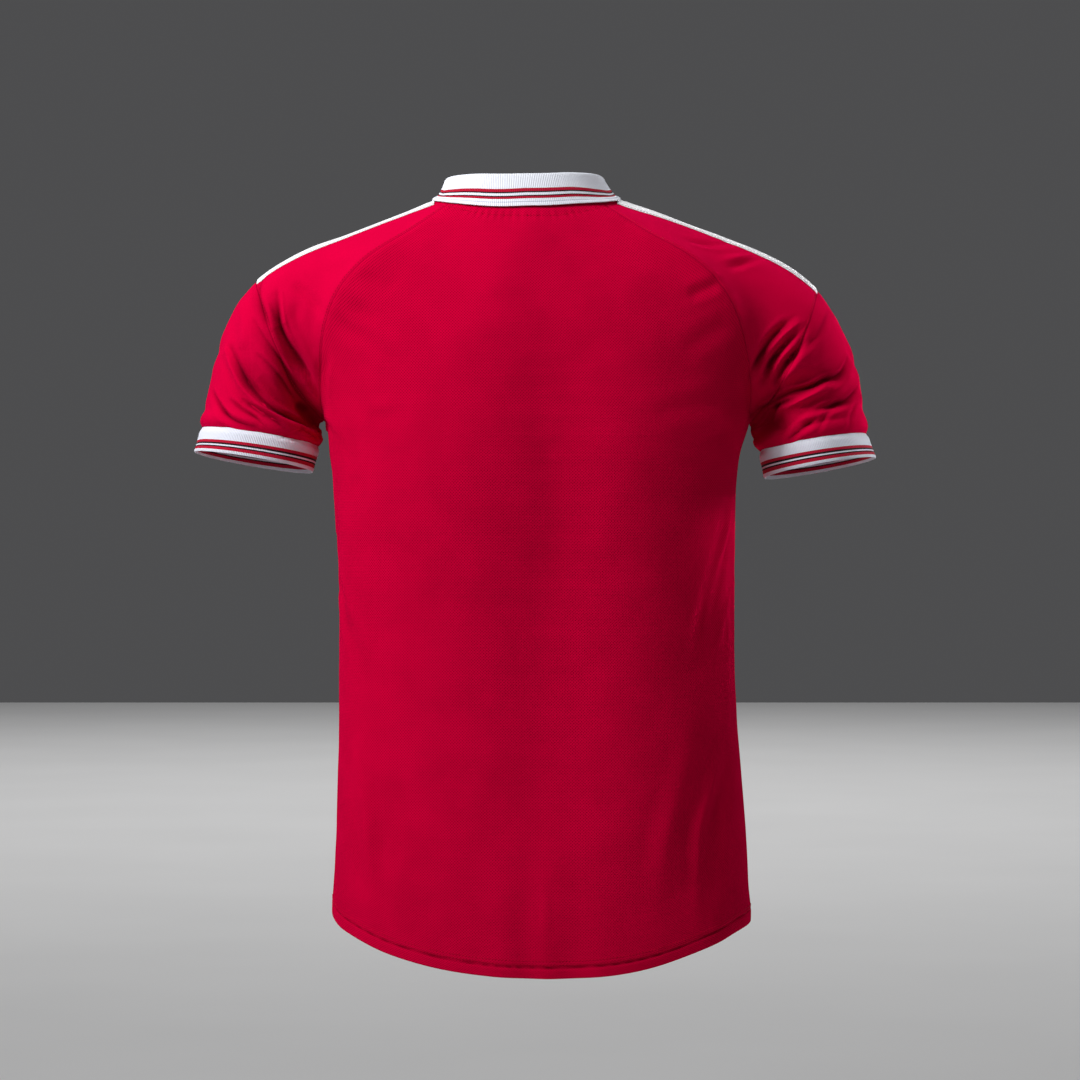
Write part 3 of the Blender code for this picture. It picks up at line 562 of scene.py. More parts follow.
@dataclass
class JerseyForm:
    """The jersey's form: sizes, cage and fine skin."""
    neck_shift: float = -0.0100
    hem_depth: float = 0.016
    hem_left: float = -0.679
    hem_right: float = -0.688
    hem_drop_back: float = 0.045
    hem_drop_front: float = 0.018
    hem_power_left: float = 1.45
    hem_power_right: float = 2.60
    hem_lead: float = 0.35
    panel_spans: int = 12
    arch_spans: int = 12
    raglan_at_back: float = 0.62
    raglan_at_front: float = 0.36
    cuff_half_depth: float = 0.052
    cuff_tilt: float = 0.004
    fold_steps: int = 24
    fold_fade: float = 0.12
    fold_side: float = 3
    levels: int = 3
    quick_levels: int = 2

    def level_point(self, section: Section, turn: float) -> np.ndarray:
        """Point of a level section.

        Args:
            section: The section.
            turn: 0 at the left side, over the back once around to 1.

        Returns:
            The point.
        """
        x, y = cos(2 * pi * turn), sin(2 * pi * turn)
        power = 2 / section.square
        across = abs(x) ** power * (section.left if x > 0 else section.right)
        depth = abs(y) ** power * (-section.back if y > 0 else section.front)
        return np.array((across, depth, section.height))

    def hem_height(self, turn: float) -> float:
        """Height of the hem edge at a turn around the body."""
        rightward = (1 - cos(2 * pi * turn)) / 2
        side = self.hem_left + (self.hem_right - self.hem_left) * rightward
        power = self.hem_power_left + (self.hem_power_right - self.hem_power_left) * rightward
        swing = sin(2 * pi * turn)
        return side - (self.hem_drop_back if swing > 0 else self.hem_drop_front) * abs(swing) ** power

    def head_point(self, arm: Arm, step: int) -> np.ndarray:
        """Point of the sleeve-head seam.

        Args:
            arm: The sleeve.
            step: From the armpit over the top and back down.

        Returns:
            The point.
        """
        top_step = self.arch_spans // 2
        rising = step <= top_step
        t = step / top_step if rising else (self.arch_spans - step) / top_step
        low_pull, high_pull = HEAD_BACK if rising == (arm.side > 0) else HEAD_FRONT
        armpit = np.array((SECTIONS[0].right if arm.side > 0 else SECTIONS[0].left, 0, ARMPIT))
        top = np.array((arm.head[0], 0, arm.head[1]))
        turned = np.array((arm.side, 1, 1))
        return cubic((armpit, armpit + turned * low_pull, top + turned * high_pull, top), t)

    def cuff_point(self, arm: Arm, ends: Sequence[Pair], step: int) -> np.ndarray:
        """Point of one edge of a cuff.

        Args:
            arm: The sleeve.
            ends: Outer and inner end of the edge.
            step: Step around it.

        Returns:
            The point.
        """
        (outer_x, outer_z), (inner_x, inner_z) = ends
        turn = 2 * pi * step / self.arch_spans
        share = (1 - cos(turn)) / 2
        return np.array((inner_x + (outer_x - inner_x) * share,
                         -arm.side * self.cuff_half_depth * sin(turn),
                         inner_z + (outer_z - inner_z) * share + arm.side * self.cuff_tilt * sin(turn)))

    def body_rows(self, cage: Cage) -> list[list[int]]:
        """Rings of the body from the armpits to the hem edge, each closed on its first point."""
        around = 2 * self.panel_spans
        side = max(self.hem_left, self.hem_right)
        levels = [(section, 0.0) for section in SECTIONS[:-1]] + [(SECTIONS[-1], self.hem_lead)]
        levels += [(HEM_SECTION._replace(height=side + rise), 1.0) for rise in (self.hem_depth, 0)]
        rows = []
        for section, lead in levels:
            ring = []
            for i in range(around):
                point = self.level_point(section, i / around)
                point[2] += lead * (self.hem_height(i / around) - side)
                ring.append(cage.add(point))
            rows.append(ring + ring[:1])
        return rows

    def yoke_ring(self, cage: Cage, row: YokeRow) -> list[int]:
        """Ring of the yoke, of which only the key points are given."""
        top = self.arch_spans // 2
        half = self.panel_spans // 2
        x_back, y_back, z_back = row.raglan_back
        x_front, y_front, z_front = row.raglan_front
        front_start = self.panel_spans + self.arch_spans
        left_start = front_start + self.panel_spans
        keys = {
            0: (-x_back, y_back, z_back), half: (0, *row.back), self.panel_spans: (x_back, y_back, z_back),
            self.panel_spans + top: (row.ridge, 0, row.ridge_right),
            front_start: (x_front, y_front, z_front), front_start + half: (0, *row.front),
            left_start: (-x_front, y_front, z_front), left_start + top: (-row.ridge, 0, row.ridge_left),
        }
        ring = []
        for i in range(left_start + self.arch_spans):
            key = keys.get(i)
            ring.append(cage.add(None if key is None else np.array(key) + (row.shift, 0, 0)))
        return ring + ring[:1]

    def neck_ring(self, cage: Cage) -> list[int]:
        """The neck edge as a ring with the same points as one of the yoke."""
        front, back = 1 + self.raglan_at_front, self.raglan_at_back
        top, half = self.arch_spans // 2, self.panel_spans // 2
        stretches = ((-back, back, self.panel_spans), (back, 1, top), (1, front, top), (front, 2, half),
                     (-2, -front, half), (-front, -1, top), (-1, -back, top))
        ring = [cage.add(neck_edge(a + (b - a) * i / count, self.neck_shift))
                for a, b, count in stretches for i in range(count)]
        return ring + ring[:1]

    def cage(self) -> Cage:
        """The whole jersey's cage without collar and bands."""
        cage = Cage()
        body = self.body_rows(cage)
        spans, arch = self.panel_spans, self.arch_spans
        heads = {}
        for arm in ARMS:
            armpit = body[0][spans if arm.side > 0 else 0]
            between = [cage.add(self.head_point(arm, i)) for i in range(1, arch)]
            heads[arm.name] = [armpit, *between, armpit]
            rings = [heads[arm.name]]
            inner_end = self.cuff_point(arm, arm.cuff_top, 0)
            for i, (x, z) in enumerate(arm.outline):
                ring = [cage.add() for _ in range(arch)]
                share = (i + 1) / (len(arm.outline) + 1)
                cage.points[ring[0]] = (1 - share) * cage.points[armpit] + share * inner_end
                cage.points[ring[arch // 2]] = np.array((x, 0, z))
                rings.append(ring + ring[:1])
            for ends in (arm.cuff_top, arm.cuff_end):
                ring = [cage.add(self.cuff_point(arm, ends, i)) for i in range(arch)]
                rings.append(ring + ring[:1])
            cage.grids[f"sleeve_{arm.name}"] = rings[:-1]
            cage.grids[f"cuff_{arm.name}"] = rings[-2:]
        rows = [self.neck_ring(cage)] + [self.yoke_ring(cage, row) for row in YOKE]
        rows.append(body[0][:spans] + heads["right"][:-1] + body[0][spans:-1] + heads["left"])
        front_start = spans + arch
        left_start = front_start + spans
        cage.grids["back"] = [row[:spans + 1] for row in rows] + [row[:spans + 1] for row in body[1:]]
        cage.grids["front"] = ([row[front_start:left_start + 1] for row in rows[:-1]]
                               + [row[spans:] for row in body])
        cage.grids["shoulder_panel_right"] = [row[spans:front_start + 1] for row in rows]
        cage.grids["shoulder_panel_left"] = [row[left_start:] for row in rows]
        return cage

    def stretch(self, cage: Cage, near: Neighbours) -> None:
        """Place the free points so that the skin between the given ones bends least.

        Args:
            cage: The cage.
            near: Neighbours of its points.
        """
        count = len(cage.points)
        free = [i for i in range(count) if cage.points[i] is None]
        given = [i for i in range(count) if cage.points[i] is not None]
        rows = [i for i in range(count) if not near.rim[i] and len(near.along[i]) == 4]
        bend = np.zeros((len(rows), count))
        for row, i in enumerate(rows):
            bend[row, i] = -1
            bend[row, list(near.along[i])] = 1 / 4
        placed = np.array([cage.points[i] for i in given])
        found = np.linalg.lstsq(bend[:, free], -bend[:, given] @ placed, rcond=None)[0]
        for i, point in zip(free, found):
            cage.points[i] = point

    def raised(self, cage: Cage, near: Neighbours) -> np.ndarray:
        """Corner points whose smooth skin passes through the cage's own points.

        Args:
            cage: The cage.
            near: Neighbours of its points.

        Returns:
            The corner points.
        """
        count = len(cage.points)
        shares = np.zeros((count, count))
        for i, (along, across, rim) in enumerate(zip(*near)):
            if rim:
                shares[i, i] = 4 / 6
                shares[i, rim] = 1 / 6
                continue
            valence = len(along)
            whole = valence * (valence + 5)
            shares[i, i] = valence ** 2 / whole
            for j in along:
                shares[i, j] += 4 / whole
            for j in across:
                shares[i, j] += 1 / whole
        return np.linalg.solve(shares, np.array(cage.points))

    def neighbours(self, faces: Sequence[Sequence[int]], count: int) -> Neighbours:
        """Find the neighbours of each point of the cage.

        Args:
            faces: The cage's faces.
            count: How many points it has.

        Returns:
            The neighbours.
        """
        along: list[set[int]] = [set() for _ in range(count)]
        across: list[list[int]] = [[] for _ in range(count)]
        uses: dict[frozenset[int], int] = {}
        for face in faces:
            for i, point in enumerate(face):
                following = face[(i + 1) % 4]
                along[point].add(following)
                along[following].add(point)
                across[point].append(face[(i + 2) % 4])
                edge = frozenset((point, following))
                uses[edge] = uses.get(edge, 0) + 1
        rim: list[list[int]] = [[] for _ in range(count)]
        for a, b in (tuple(edge) for edge, used in uses.items() if used == 1):
            rim[a].append(b)
            rim[b].append(a)
        return Neighbours(along, across, rim)

    def skin(self) -> Skin:
        """Draw the fine skin and press the broad folds into it."""
        cage = self.cage()
        faces, owners, cells = cage.faces()
        near = self.neighbours(faces, len(cage.points))
        self.stretch(cage, near)
        names = list(cage.grids)
        mesh = bpy.data.meshes.new("cage")
        mesh.from_pydata(self.raised(cage, near).tolist(), [], faces)
        flat = {name: cage.flat_places(name) for name in names}
        layer = mesh.uv_layers.new(name="flat")
        for n, (i, j) in enumerate(cells):
            mesh.polygons[n].material_index = names.index(owners[n])
            places = flat[owners[n]]
            corners = (places[i, j], places[i + 1, j], places[i + 1, j + 1], places[i, j + 1])
            for k, place in enumerate(corners):
                layer.uv[4 * n + k].vector = place
        for name in names:
            mesh.materials.append(bpy.data.materials.new(f"guide_{name}"))
        guide = bpy.data.objects.new("cage", mesh)
        bpy.context.scene.collection.objects.link(guide)
        rounding = guide.modifiers.new("Smooth", "SUBSURF")
        rounding.levels = rounding.render_levels = self.levels
        shape = guide.evaluated_get(bpy.context.evaluated_depsgraph_get()).to_mesh()
        points = np.empty(3 * len(shape.vertices))
        shape.vertices.foreach_get("co", points)
        quads = np.empty(len(shape.loops), int)
        shape.loops.foreach_get("vertex_index", quads)
        kinds = np.empty(len(shape.polygons), int)
        shape.polygons.foreach_get("material_index", kinds)
        places = np.empty(2 * len(shape.loops))
        shape.uv_layers["flat"].uv.foreach_get("vector", places)
        guide.to_mesh_clear()
        bpy.data.objects.remove(guide)
        for name in names:
            bpy.data.materials.remove(bpy.data.materials[f"guide_{name}"])
        skin = Skin(points.reshape(-1, 3), Squares(quads.reshape(-1, 4), np.array(names)[kinds],
                                                   places.reshape(-1, 4, 2)))
        self.press_folds(skin)
        skin.split(names)
        skin.split([name for name in names if name.startswith(("sleeve", "shoulder"))])
        skin.pushed, skin.shade = np.zeros((2, len(skin.points)))
        return skin

    def press_folds(self, skin: Skin) -> None:
        """Push the skin in along each broad fold, softly towards its sides and ends."""
        pushed = skin.points.copy()
        steps = np.linspace(0, 1, self.fold_steps + 1)[:, None]
        fade = np.sqrt(np.sin(pi * np.clip(steps[:, 0], self.fold_fade, 1 - self.fold_fade)))
        for fold in FOLDS:
            start, middle, end = (np.array(p) for p in (fold.start, fold.middle, fold.end))
            pull = 2 * middle - (start + end) / 2
            line = (1 - steps) ** 2 * start + 2 * steps * (1 - steps) * pull + steps ** 2 * end
            gaps = np.linalg.norm(skin.points[:, None, [0, 2]] - line[None], axis=2) / fold.width
            turned = np.clip(skin.normals[:, 1] * fold.side * self.fold_side, 0, 1)
            push = (np.exp(-gaps ** 2) * fade).max(axis=1) * turned
            pushed -= skin.normals * (push * fold.depth)[:, None]
        skin.points = pushed
        skin.refresh()


# ---------------------------------------------------------------- worn creases and seams
class Ridge(NamedTuple):
    """Round ridge along a line, or a groove below zero: its height, place aside and width."""
    height: float
    place: float
    width: float

    def at(self, distance: np.ndarray | float) -> np.ndarray | float:
        """Height at a distance from the line."""
        return self.height * np.exp(-((distance - self.place) / self.width) ** 2)


@dataclass
class WornCloth:
    """What wearing and sewing do to the smooth skin: creases, seams and small unevenness, with painted shade along deep
    creases and the hem's row.
    """
    crease_step: float = 0.0018
    crease_reach: float = 3.2
    crease_end: float = 0.03        # share of a crease that counts as its end
    crease_swing: float = 0.2       # how unevenly deep a crease is along its line
    crisp_power: float = 1.25
    soft_power: float = 1.8
    crisp_fade: float = 0.4
    soft_fade: float = 0.7
    lips: Ridge = Ridge(0.32, 2.0, 0.8)
    # shade painted into the colour along creases: depth for the full shade, that shade, and its spread across
    crisp_shade: Pair = (3.6, 1.0)      # depth with the full shade, and that shade
    soft_shade: Pair = (8.0, 0.24)
    shade_width: float = 0.8
    tail_core: Ridge = Ridge(0.35, 0, 0.6)
    tail_spread: Pair = (0.65, 2.2)     # shade and width
    mirrored_from: float = 130      # creases past this distance have a similar one in front
    mirrored_share: float = 0.8
    mirrored_shift: Pair = (4.0, -5.0)
    waves: tuple[Pair, ...] = ((0.055, 0.0007), (0.021, 0.00022))
    hem_wave: float = 0.0010
    hem_wave_top: float = -0.60
    hem_wave_rise: float = 0.10
    seam_valley: Ridge = Ridge(-0.0004, 0, 0.0016)
    seam_welt: Ridge = Ridge(0.0001, 0.0055, 0.002)
    cuff_pinch: Ridge = Ridge(-0.0016, 0, 0.003)
    cuff_puff: Ridge = Ridge(0.0018, 0.009, 0.006)
    hem_row: float = 0.0148
    hem_groove: Ridge = Ridge(-0.0008, 0, 0.0018)
    hem_ridge: Ridge = Ridge(0.0004, 0.0040, 0.0020)
    # shade painted along the hem's row of stitches: its darkness, place and width
    hem_shade: Ridge = Ridge(0.42, -0.0004, 0.0013)
    hem_ripples: float = 52
    hem_ripple: float = 0.45
    neck_groove: Ridge = Ridge(-0.0008, 0, 0.0016)
    gather: Ridge = Ridge(0.0003, 0, 0.006)
    gather_pitch: float = 0.0062
    gather_reach: float = 0.015

    def creases(self) -> list[Crease]:
        """All creases: those of the back, similar ones on the front, and the other sides' own."""
        shift_x, shift_z = self.mirrored_shift
        similar = [
            Crease(crease.width, crease.depth * self.mirrored_share,
                   tuple((-x + shift_x, z + shift_z) for x, z in crease.line), side=Side.FRONT)
            for crease in CREASES if min(abs(x) for x, _ in crease.line) > self.mirrored_from
        ]
        return [*CREASES, *similar, *OTHER_CREASES]

    def lay(self, skin: Skin, crease: Crease) -> tuple[np.ndarray, np.ndarray, np.ndarray] | None:
        """Lay a crease's line on the skin.

        Args:
            skin: The skin.
            crease: The crease.

        Returns:
            Points, outward directions and directions along the line, or None if it misses.
        """
        corners = np.array(crease.line) * MM
        lengths = lengths_along(corners)
        count = max(6, int(lengths[-1] / self.crease_step))
        places = np.linspace(0, lengths[-1], count)
        line = np.column_stack([np.interp(places, lengths, corners[:, k]) for k in (0, 1)])
        smooth(line, count // 3)
        found = [skin.seen_from(crease.side, across, up) for across, up in line]
        found = [hit for hit in found if hit is not None]
        if len(found) < 4:
            return None
        points = np.array([place for place, _ in found])
        normals = np.array([facing for _, facing in found])
        return points, normals, unit(np.gradient(points, axis=0))

    def press(self, skin: Skin) -> None:
        """Press every crease into the skin, and paint shade along each deep one."""
        offset = np.zeros(len(skin.points))
        for crease in self.creases():
            laid = self.lay(skin, crease)
            if laid is None:
                LOG.info("a crease from %s misses the cloth", crease.side.name)
                continue
            points, normals, ahead = laid
            width = crease.width * MM
            reach = self.crease_reach * width
            inside = np.all((skin.points > points.min(axis=0) - reach)
                            & (skin.points < points.max(axis=0) + reach), axis=1)
            near = np.flatnonzero(inside)
            away = skin.points[near][:, None] - points[None]
            closest = np.linalg.norm(away, axis=2).argmin(axis=1)
            away = away[np.arange(len(near)), closest]
            along = (away * ahead[closest]).sum(axis=1)
            gap = np.sqrt(np.maximum((away ** 2).sum(axis=1) - along ** 2, 0)) / width
            left = (away * np.cross(normals[closest], ahead[closest])).sum(axis=1) / width
            facing = np.clip((skin.normals[near] * normals[closest]).sum(axis=1) * 2, 0, 1)
            place = closest / (len(points) - 1)
            fade = np.sin(pi * np.clip(place, self.crease_end, 1 - self.crease_end))
            fade **= self.crisp_fade if crease.crisp else self.soft_fade
            fade *= np.exp(-(along / (2 * width)) ** 2)
            fade *= 1 + self.crease_swing * np.sin(9 * place + crease.line[0][0])
            offset[near] -= crease.depth * MM * fade * facing * self.profile(crease, gap, left)
            # paint shade into the colour along a deep crease
            if crease.depth > 0:
                shade = self.shading(crease, gap, left) * np.clip(fade, 0, 1) * facing
                skin.shade[near] = np.maximum(skin.shade[near], shade)
        skin.push(offset)

    def profile(self, crease: Crease, gap: np.ndarray, left: np.ndarray) -> np.ndarray:
        """Section of a crease: a trough with a low lip on each side.

        Args:
            crease: The crease.
            gap: Distances from its line, in widths of the crease.
            left: The same to the line's left, below zero on its right.

        Returns:
            Shares of the crease's depth.
        """
        aside = gap / (1 - crease.lean * np.tanh(3 * left))
        trough = np.exp(-aside ** (self.crisp_power if crease.crisp else self.soft_power))
        return trough - self.lips.at(aside)

    def shading(self, crease: Crease, gap: np.ndarray, left: np.ndarray) -> np.ndarray:
        """Shade painted into the cloth's colour across a crease, trailing off on its tail's side.

        Args:
            crease: The crease.
            gap: Distances from its line, in widths of the crease.
            left: The same to the line's left, below zero on its right.

        Returns:
            Shares of the full shade.
        """
        spread, spread_width = self.tail_spread
        trail = self.tail_core.at(gap) + spread * np.exp(-(gap / spread_width) ** 1.5)
        even = np.exp(-(gap / (self.shade_width - 0.2 * abs(crease.tail))) ** 2)
        deepest, most = self.crisp_shade if crease.crisp else self.soft_shade
        return np.where(left * crease.tail > 0, trail, even) * most * np.clip(crease.depth / deepest, 0, 1)

    def wave(self, skin: Skin) -> None:
        """Let the cloth lie slightly unevenly, and the hem a little more."""
        offset = np.zeros(len(skin.points))
        for length, height in self.waves:
            offset += height * np.array([noise.noise(Vector(point) / length) for point in skin.points])
        low = np.clip((self.hem_wave_top - skin.points[:, 2]) / self.hem_wave_rise, 0, 1)
        offset += self.hem_wave * low * np.sin(skin.points[:, 0] * 95 + 2 * np.sin(skin.points[:, 0] * 31))
        skin.push(offset)

    def sink_hem(self, skin: Skin) -> np.ndarray:
        """Sink the hem's row of stitches in, with a rippled ridge over it, and paint shade along the row.

        Args:
            skin: The skin.

        Returns:
            How far each point goes out.
        """
        above = np.full(len(skin.points), 1.0)
        for panel in ("back", "front"):
            quads, flat = skin.outer.of(panel)
            above[quads.ravel()] = flat[:, :, 1].ravel()
        above -= self.hem_row
        turn = np.arctan2(skin.points[:, 1], skin.points[:, 0])
        ripple = 1 + self.hem_ripple * np.sin(turn * self.hem_ripples + 4 * np.sin(7 * turn))
        # painted shade along the hem's row
        skin.shade = np.maximum(skin.shade, ripple * self.hem_shade.at(above))
        swollen = self.hem_ridge.height * np.clip(-above / self.hem_ridge.place, 0, 1)
        return ripple * (self.hem_groove.at(above) + self.hem_ridge.at(above)) + swollen

    def sink_neck(self, skin: Skin, neck_row: np.ndarray) -> np.ndarray:
        """Sink the row of stitches around the neck in and gather the cloth along it.

        Args:
            skin: The skin.
            neck_row: Points along the row.

        Returns:
            How far each point goes out.
        """
        offset = np.zeros(len(skin.points))
        tree = search_tree(neck_row, range(len(neck_row)))
        lengths = lengths_along(neck_row)
        near = np.flatnonzero(skin.points[:, 2] > neck_row[:, 2].min() - self.gather_reach)
        near = near[np.abs(skin.points[near, 0]) < np.abs(neck_row[:, 0]).max() + self.gather_reach]
        for n in near:
            _, i, gap = tree.find(skin.points[n])
            if gap < self.gather_reach:
                gathers = sin(2 * pi * lengths[i] / self.gather_pitch + 2 * sin(lengths[i] * 60))
                offset[n] = gathers * self.gather.at(gap) + self.neck_groove.at(gap)
        return offset

    def topstitch(self, skin: Skin, neck_row: np.ndarray) -> None:
        """Sink the hem's rows of stitches in, and the neck's, with painted shade along the hem's row."""
        skin.push(self.sink_hem(skin) + self.sink_neck(skin, neck_row))

    def seam_lines(self, skin: Skin) -> list[SeamEdge]:
        """Edges between two panels, with the two panels' names."""
        owners: dict[tuple[int, int], list[str]] = {}
        for quad, owner in zip(skin.lining.quads.tolist(), skin.lining.owners):
            for i in range(4):
                a, b = quad[i], quad[(i + 1) % 4]
                owners.setdefault((min(a, b), max(a, b)), []).append(owner)
        return [(a, b, frozenset(pair)) for (a, b), pair in owners.items()
                if len(pair) == 2 and pair[0] != pair[1]]

    def sew(self, skin: Skin) -> np.ndarray:
        """Draw the seams in, with a welt beside each and the sleeves puffed over their cuffs.

        Args:
            skin: The skin.

        Returns:
            Distance of each point from the nearest seam.
        """
        lines = self.seam_lines(skin)
        ends = sorted({i for a, b, _ in lines for i in (a, b)})
        edges: dict[int, list[SeamEdge]] = {}
        for line in lines:
            edges.setdefault(line[0], []).append(line)
            edges.setdefault(line[1], []).append(line)
        tree = search_tree(skin.points[ends], ends)
        far = 4 * self.cuff_puff.place
        gaps = np.full(len(skin.points), far)
        at_cuff = np.zeros(len(skin.points), bool)
        for n, point in enumerate(skin.points):
            _, i, gap = tree.find(point)
            if gap > far:
                continue
            for a, b, pair in edges[i]:
                start, run = skin.points[a], skin.points[b] - skin.points[a]
                t = min(max((point - start) @ run / (run @ run), 0), 1)
                distance = float(np.linalg.norm(point - start - t * run))
                if distance < gaps[n]:
                    gaps[n] = distance
                    at_cuff[n] = any(name.startswith("cuff") for name in pair)
        sleeve = np.zeros(len(skin.points), bool)
        sleeve[skin.outer.quads[np.char.startswith(skin.outer.owners.astype(str), "sleeve")]] = True
        skin.push(self.seam_valley.at(gaps) + self.seam_welt.at(gaps)
                  + np.where(at_cuff & sleeve, self.cuff_puff.at(gaps), 0)
                  + np.where(at_cuff, self.cuff_pinch.at(gaps), 0))
        return gaps


# ---------------------------------------------------------------- finishes
# Painted shade: the red cloth's colour is darkened towards this deep red along seams and in creases.
PAINTED_SHADE_RED = (0.050, 0.0, 0.002)
SEAM_SHADE, SEAM_SHADE_WIDTH = 0.30, 0.0012
CREASE_SHADE = 0.85
SHEEN_ROUGHNESS = 0.45


class Board:
    """A material's node tree, with short calls for the nodes that the finishes are made of."""

    def __init__(self, name: str) -> None:
        """Start a material with a Principled shader.

        Args:
            name: Its name.
        """
        self.material = bpy.data.materials.new(name)
        self.material.use_nodes = True
        self.nodes = self.material.node_tree.nodes
        self.links = self.material.node_tree.links
        self.shader = self.nodes["Principled BSDF"]

    def join(self, signal: Signal | Colour, socket: Socket) -> None:
        """Feed a socket from another one, or set it."""
        if isinstance(signal, Socket):
            self.links.new(signal, socket)
        else:
            socket.default_value = signal

    def math(self, operation: str, *signals: Signal) -> Socket:
        """One step of arithmetic.

        Args:
            operation: Blender's name of it.
            signals: What goes in.

        Returns:
            What comes out.
        """
        node = self.nodes.new("ShaderNodeMath")
        node.operation = operation
        for signal, socket in zip(signals, node.inputs):
            self.join(signal, socket)
        return node.outputs[0]

    def ramp(self, signal: Signal, low: float, high: float) -> Socket:
        """Smooth step from 0 at low to 1 at high; low may be the larger one."""
        node = self.nodes.new("ShaderNodeMapRange")
        node.interpolation_type = "SMOOTHSTEP"
        self.join(signal, node.inputs["Value"])
        ends = {"From Min": min(low, high), "From Max": max(low, high), "To Min": low > high, "To Max": low < high}
        for label, value in ends.items():
            node.inputs[label].default_value = value
        return node.outputs["Result"]

    def blend(self, share: Signal, first: Colour, second: Colour) -> Socket:
        """Mix of two colours.

        Args:
            share: Share of the second.
            first: Colour at share 0.
            second: Colour at share 1.

        Returns:
            The mixed colour.
        """
        node = self.nodes.new("ShaderNodeMix")
        node.data_type = "RGBA"
        sockets = [s for s in node.inputs if s.type == "RGBA"]
        self.join(share, node.inputs["Factor"])
        for colour, socket in zip((first, second), sockets):
            self.join(colour if isinstance(colour, Socket) else (*colour, 1), socket)
        return next(s for s in node.outputs if s.type == "RGBA")

    def flat(self) -> tuple[Socket, Socket]:
        """Place on the flat cloth: across and up, in metres."""
        places = self.nodes.new("ShaderNodeUVMap")
        places.uv_map = "flat"
        split = self.nodes.new("ShaderNodeSeparateXYZ")
        self.links.new(places.outputs["UV"], split.inputs[0])
        return split.outputs["X"], split.outputs["Y"]

    def grain(self, size: float, detail: float = 2.0) -> Socket:
        """Noise over the object, in grains of the given size."""
        places = self.nodes.new("ShaderNodeTexCoord")
        node = self.nodes.new("ShaderNodeTexNoise")
        node.inputs["Scale"].default_value = 1 / size
        node.inputs["Detail"].default_value = detail
        self.links.new(places.outputs["Object"], node.inputs["Vector"])
        return node.outputs["Fac"]

    def wave(self, signal: Signal, pitch: float) -> Socket:
        """Sine of a distance, with the given pitch in metres."""
        return self.math("SINE", self.math("MULTIPLY", signal, 2 * pi / pitch))

    def swing(self, signal: Signal, pitch: float) -> Socket:
        """Wave of a distance between 0 and 1."""
        return self.math("MULTIPLY_ADD", self.wave(signal, pitch), 0.5, 0.5)

    def attribute(self, name: str) -> Socket:
        """A number that is stored on the mesh's points."""
        node = self.nodes.new("ShaderNodeAttribute")
        node.attribute_name = name
        return node.outputs["Fac"]

    def tint(self, share: Signal, most: float, colour: Colour, other: Colour) -> Socket:
        """Blend at most a given share of another colour in."""
        return self.blend(self.math("MULTIPLY", share, most), colour, other)

    def patches(self, colour: Colour, hollow: Colour, size: float, most: float) -> Socket:
        """Let faint soft patches of a colour show."""
        return self.tint(self.ramp(self.grain(size, 3.0), 0.25, 0.75), most, colour, hollow)

    def with_painted_shade(self, colour: Colour) -> Socket:
        """Red cloth's colour with painted shade, darker along seams and in creases."""
        seam = self.ramp(self.attribute("seam"), SEAM_SHADE_WIDTH, SEAM_SHADE_WIDTH / 6)
        colour = self.tint(seam, SEAM_SHADE, colour, PAINTED_SHADE_RED)
        return self.tint(self.attribute("shade"), CREASE_SHADE, colour, PAINTED_SHADE_RED)

    def relief(self, height: Signal, depth: float) -> None:
        """Bump the surface by a height between 0 and 1, which stands for the depth in metres."""
        node = self.nodes.new("ShaderNodeBump")
        node.inputs["Distance"].default_value = depth
        self.join(height, node.inputs["Height"])
        self.links.new(node.outputs["Normal"], self.shader.inputs["Normal"])

    def finish(self, colour: Socket, roughness: Signal, sheen: float,
               sheen_tint: Sequence[float], specular: float) -> bpy.types.Material:
        """Set the shader and hand the material over.

        Args:
            colour: Base colour.
            roughness: Roughness.
            sheen: Weight of the soft sheen of fibres.
            sheen_tint: Its colour.
            specular: Specular level.

        Returns:
            The material.
        """
        settings = {"Base Color": colour, "Roughness": roughness, "Sheen Weight": sheen, "Sheen Tint": (*sheen_tint, 1),
                    "Sheen Roughness": SHEEN_ROUGHNESS, "Specular IOR Level": specular}
        for label, value in settings.items():
            self.join(value, self.shader.inputs[label])
        return self.material


@dataclass(frozen=True)
class MeshKnit:
    """Breathable polyester knit: staggered fine eyelets over knitted courses."""
    name: str = "mesh_knit"
    base: Point = (0.640, 0.0002, 0.040)
    eyelet: Point = (0.210, 0.0001, 0.010)
    pitch: float = 0.0028
    course: float = 0.0008
    relief: float = 0.00026

    def make(self) -> bpy.types.Material:
        """The material."""
        board = Board(self.name)
        across, up = board.flat()
        eyelets = board.math("MULTIPLY", board.wave(across, self.pitch), board.wave(up, self.pitch))
        holes = board.ramp(eyelets, 0.10, 0.85)
        loops = board.swing(up, self.course)
        shade = board.math("MULTIPLY_ADD", holes, 0.62, board.math("MULTIPLY", loops, 0.10))
        colour = board.patches(board.blend(shade, self.base, self.eyelet), self.eyelet, 0.035, 0.16)
        board.relief(board.math("SUBTRACT", board.math("MULTIPLY", loops, 0.25), holes), self.relief)
        roughness = board.math("MULTIPLY_ADD", holes, 0.20, 0.52)
        # painted shade along seams and creases darkens the colour
        return board.finish(board.with_painted_shade(colour), roughness, 0.10, (1.0, 0.02, 0.20), 0.0)


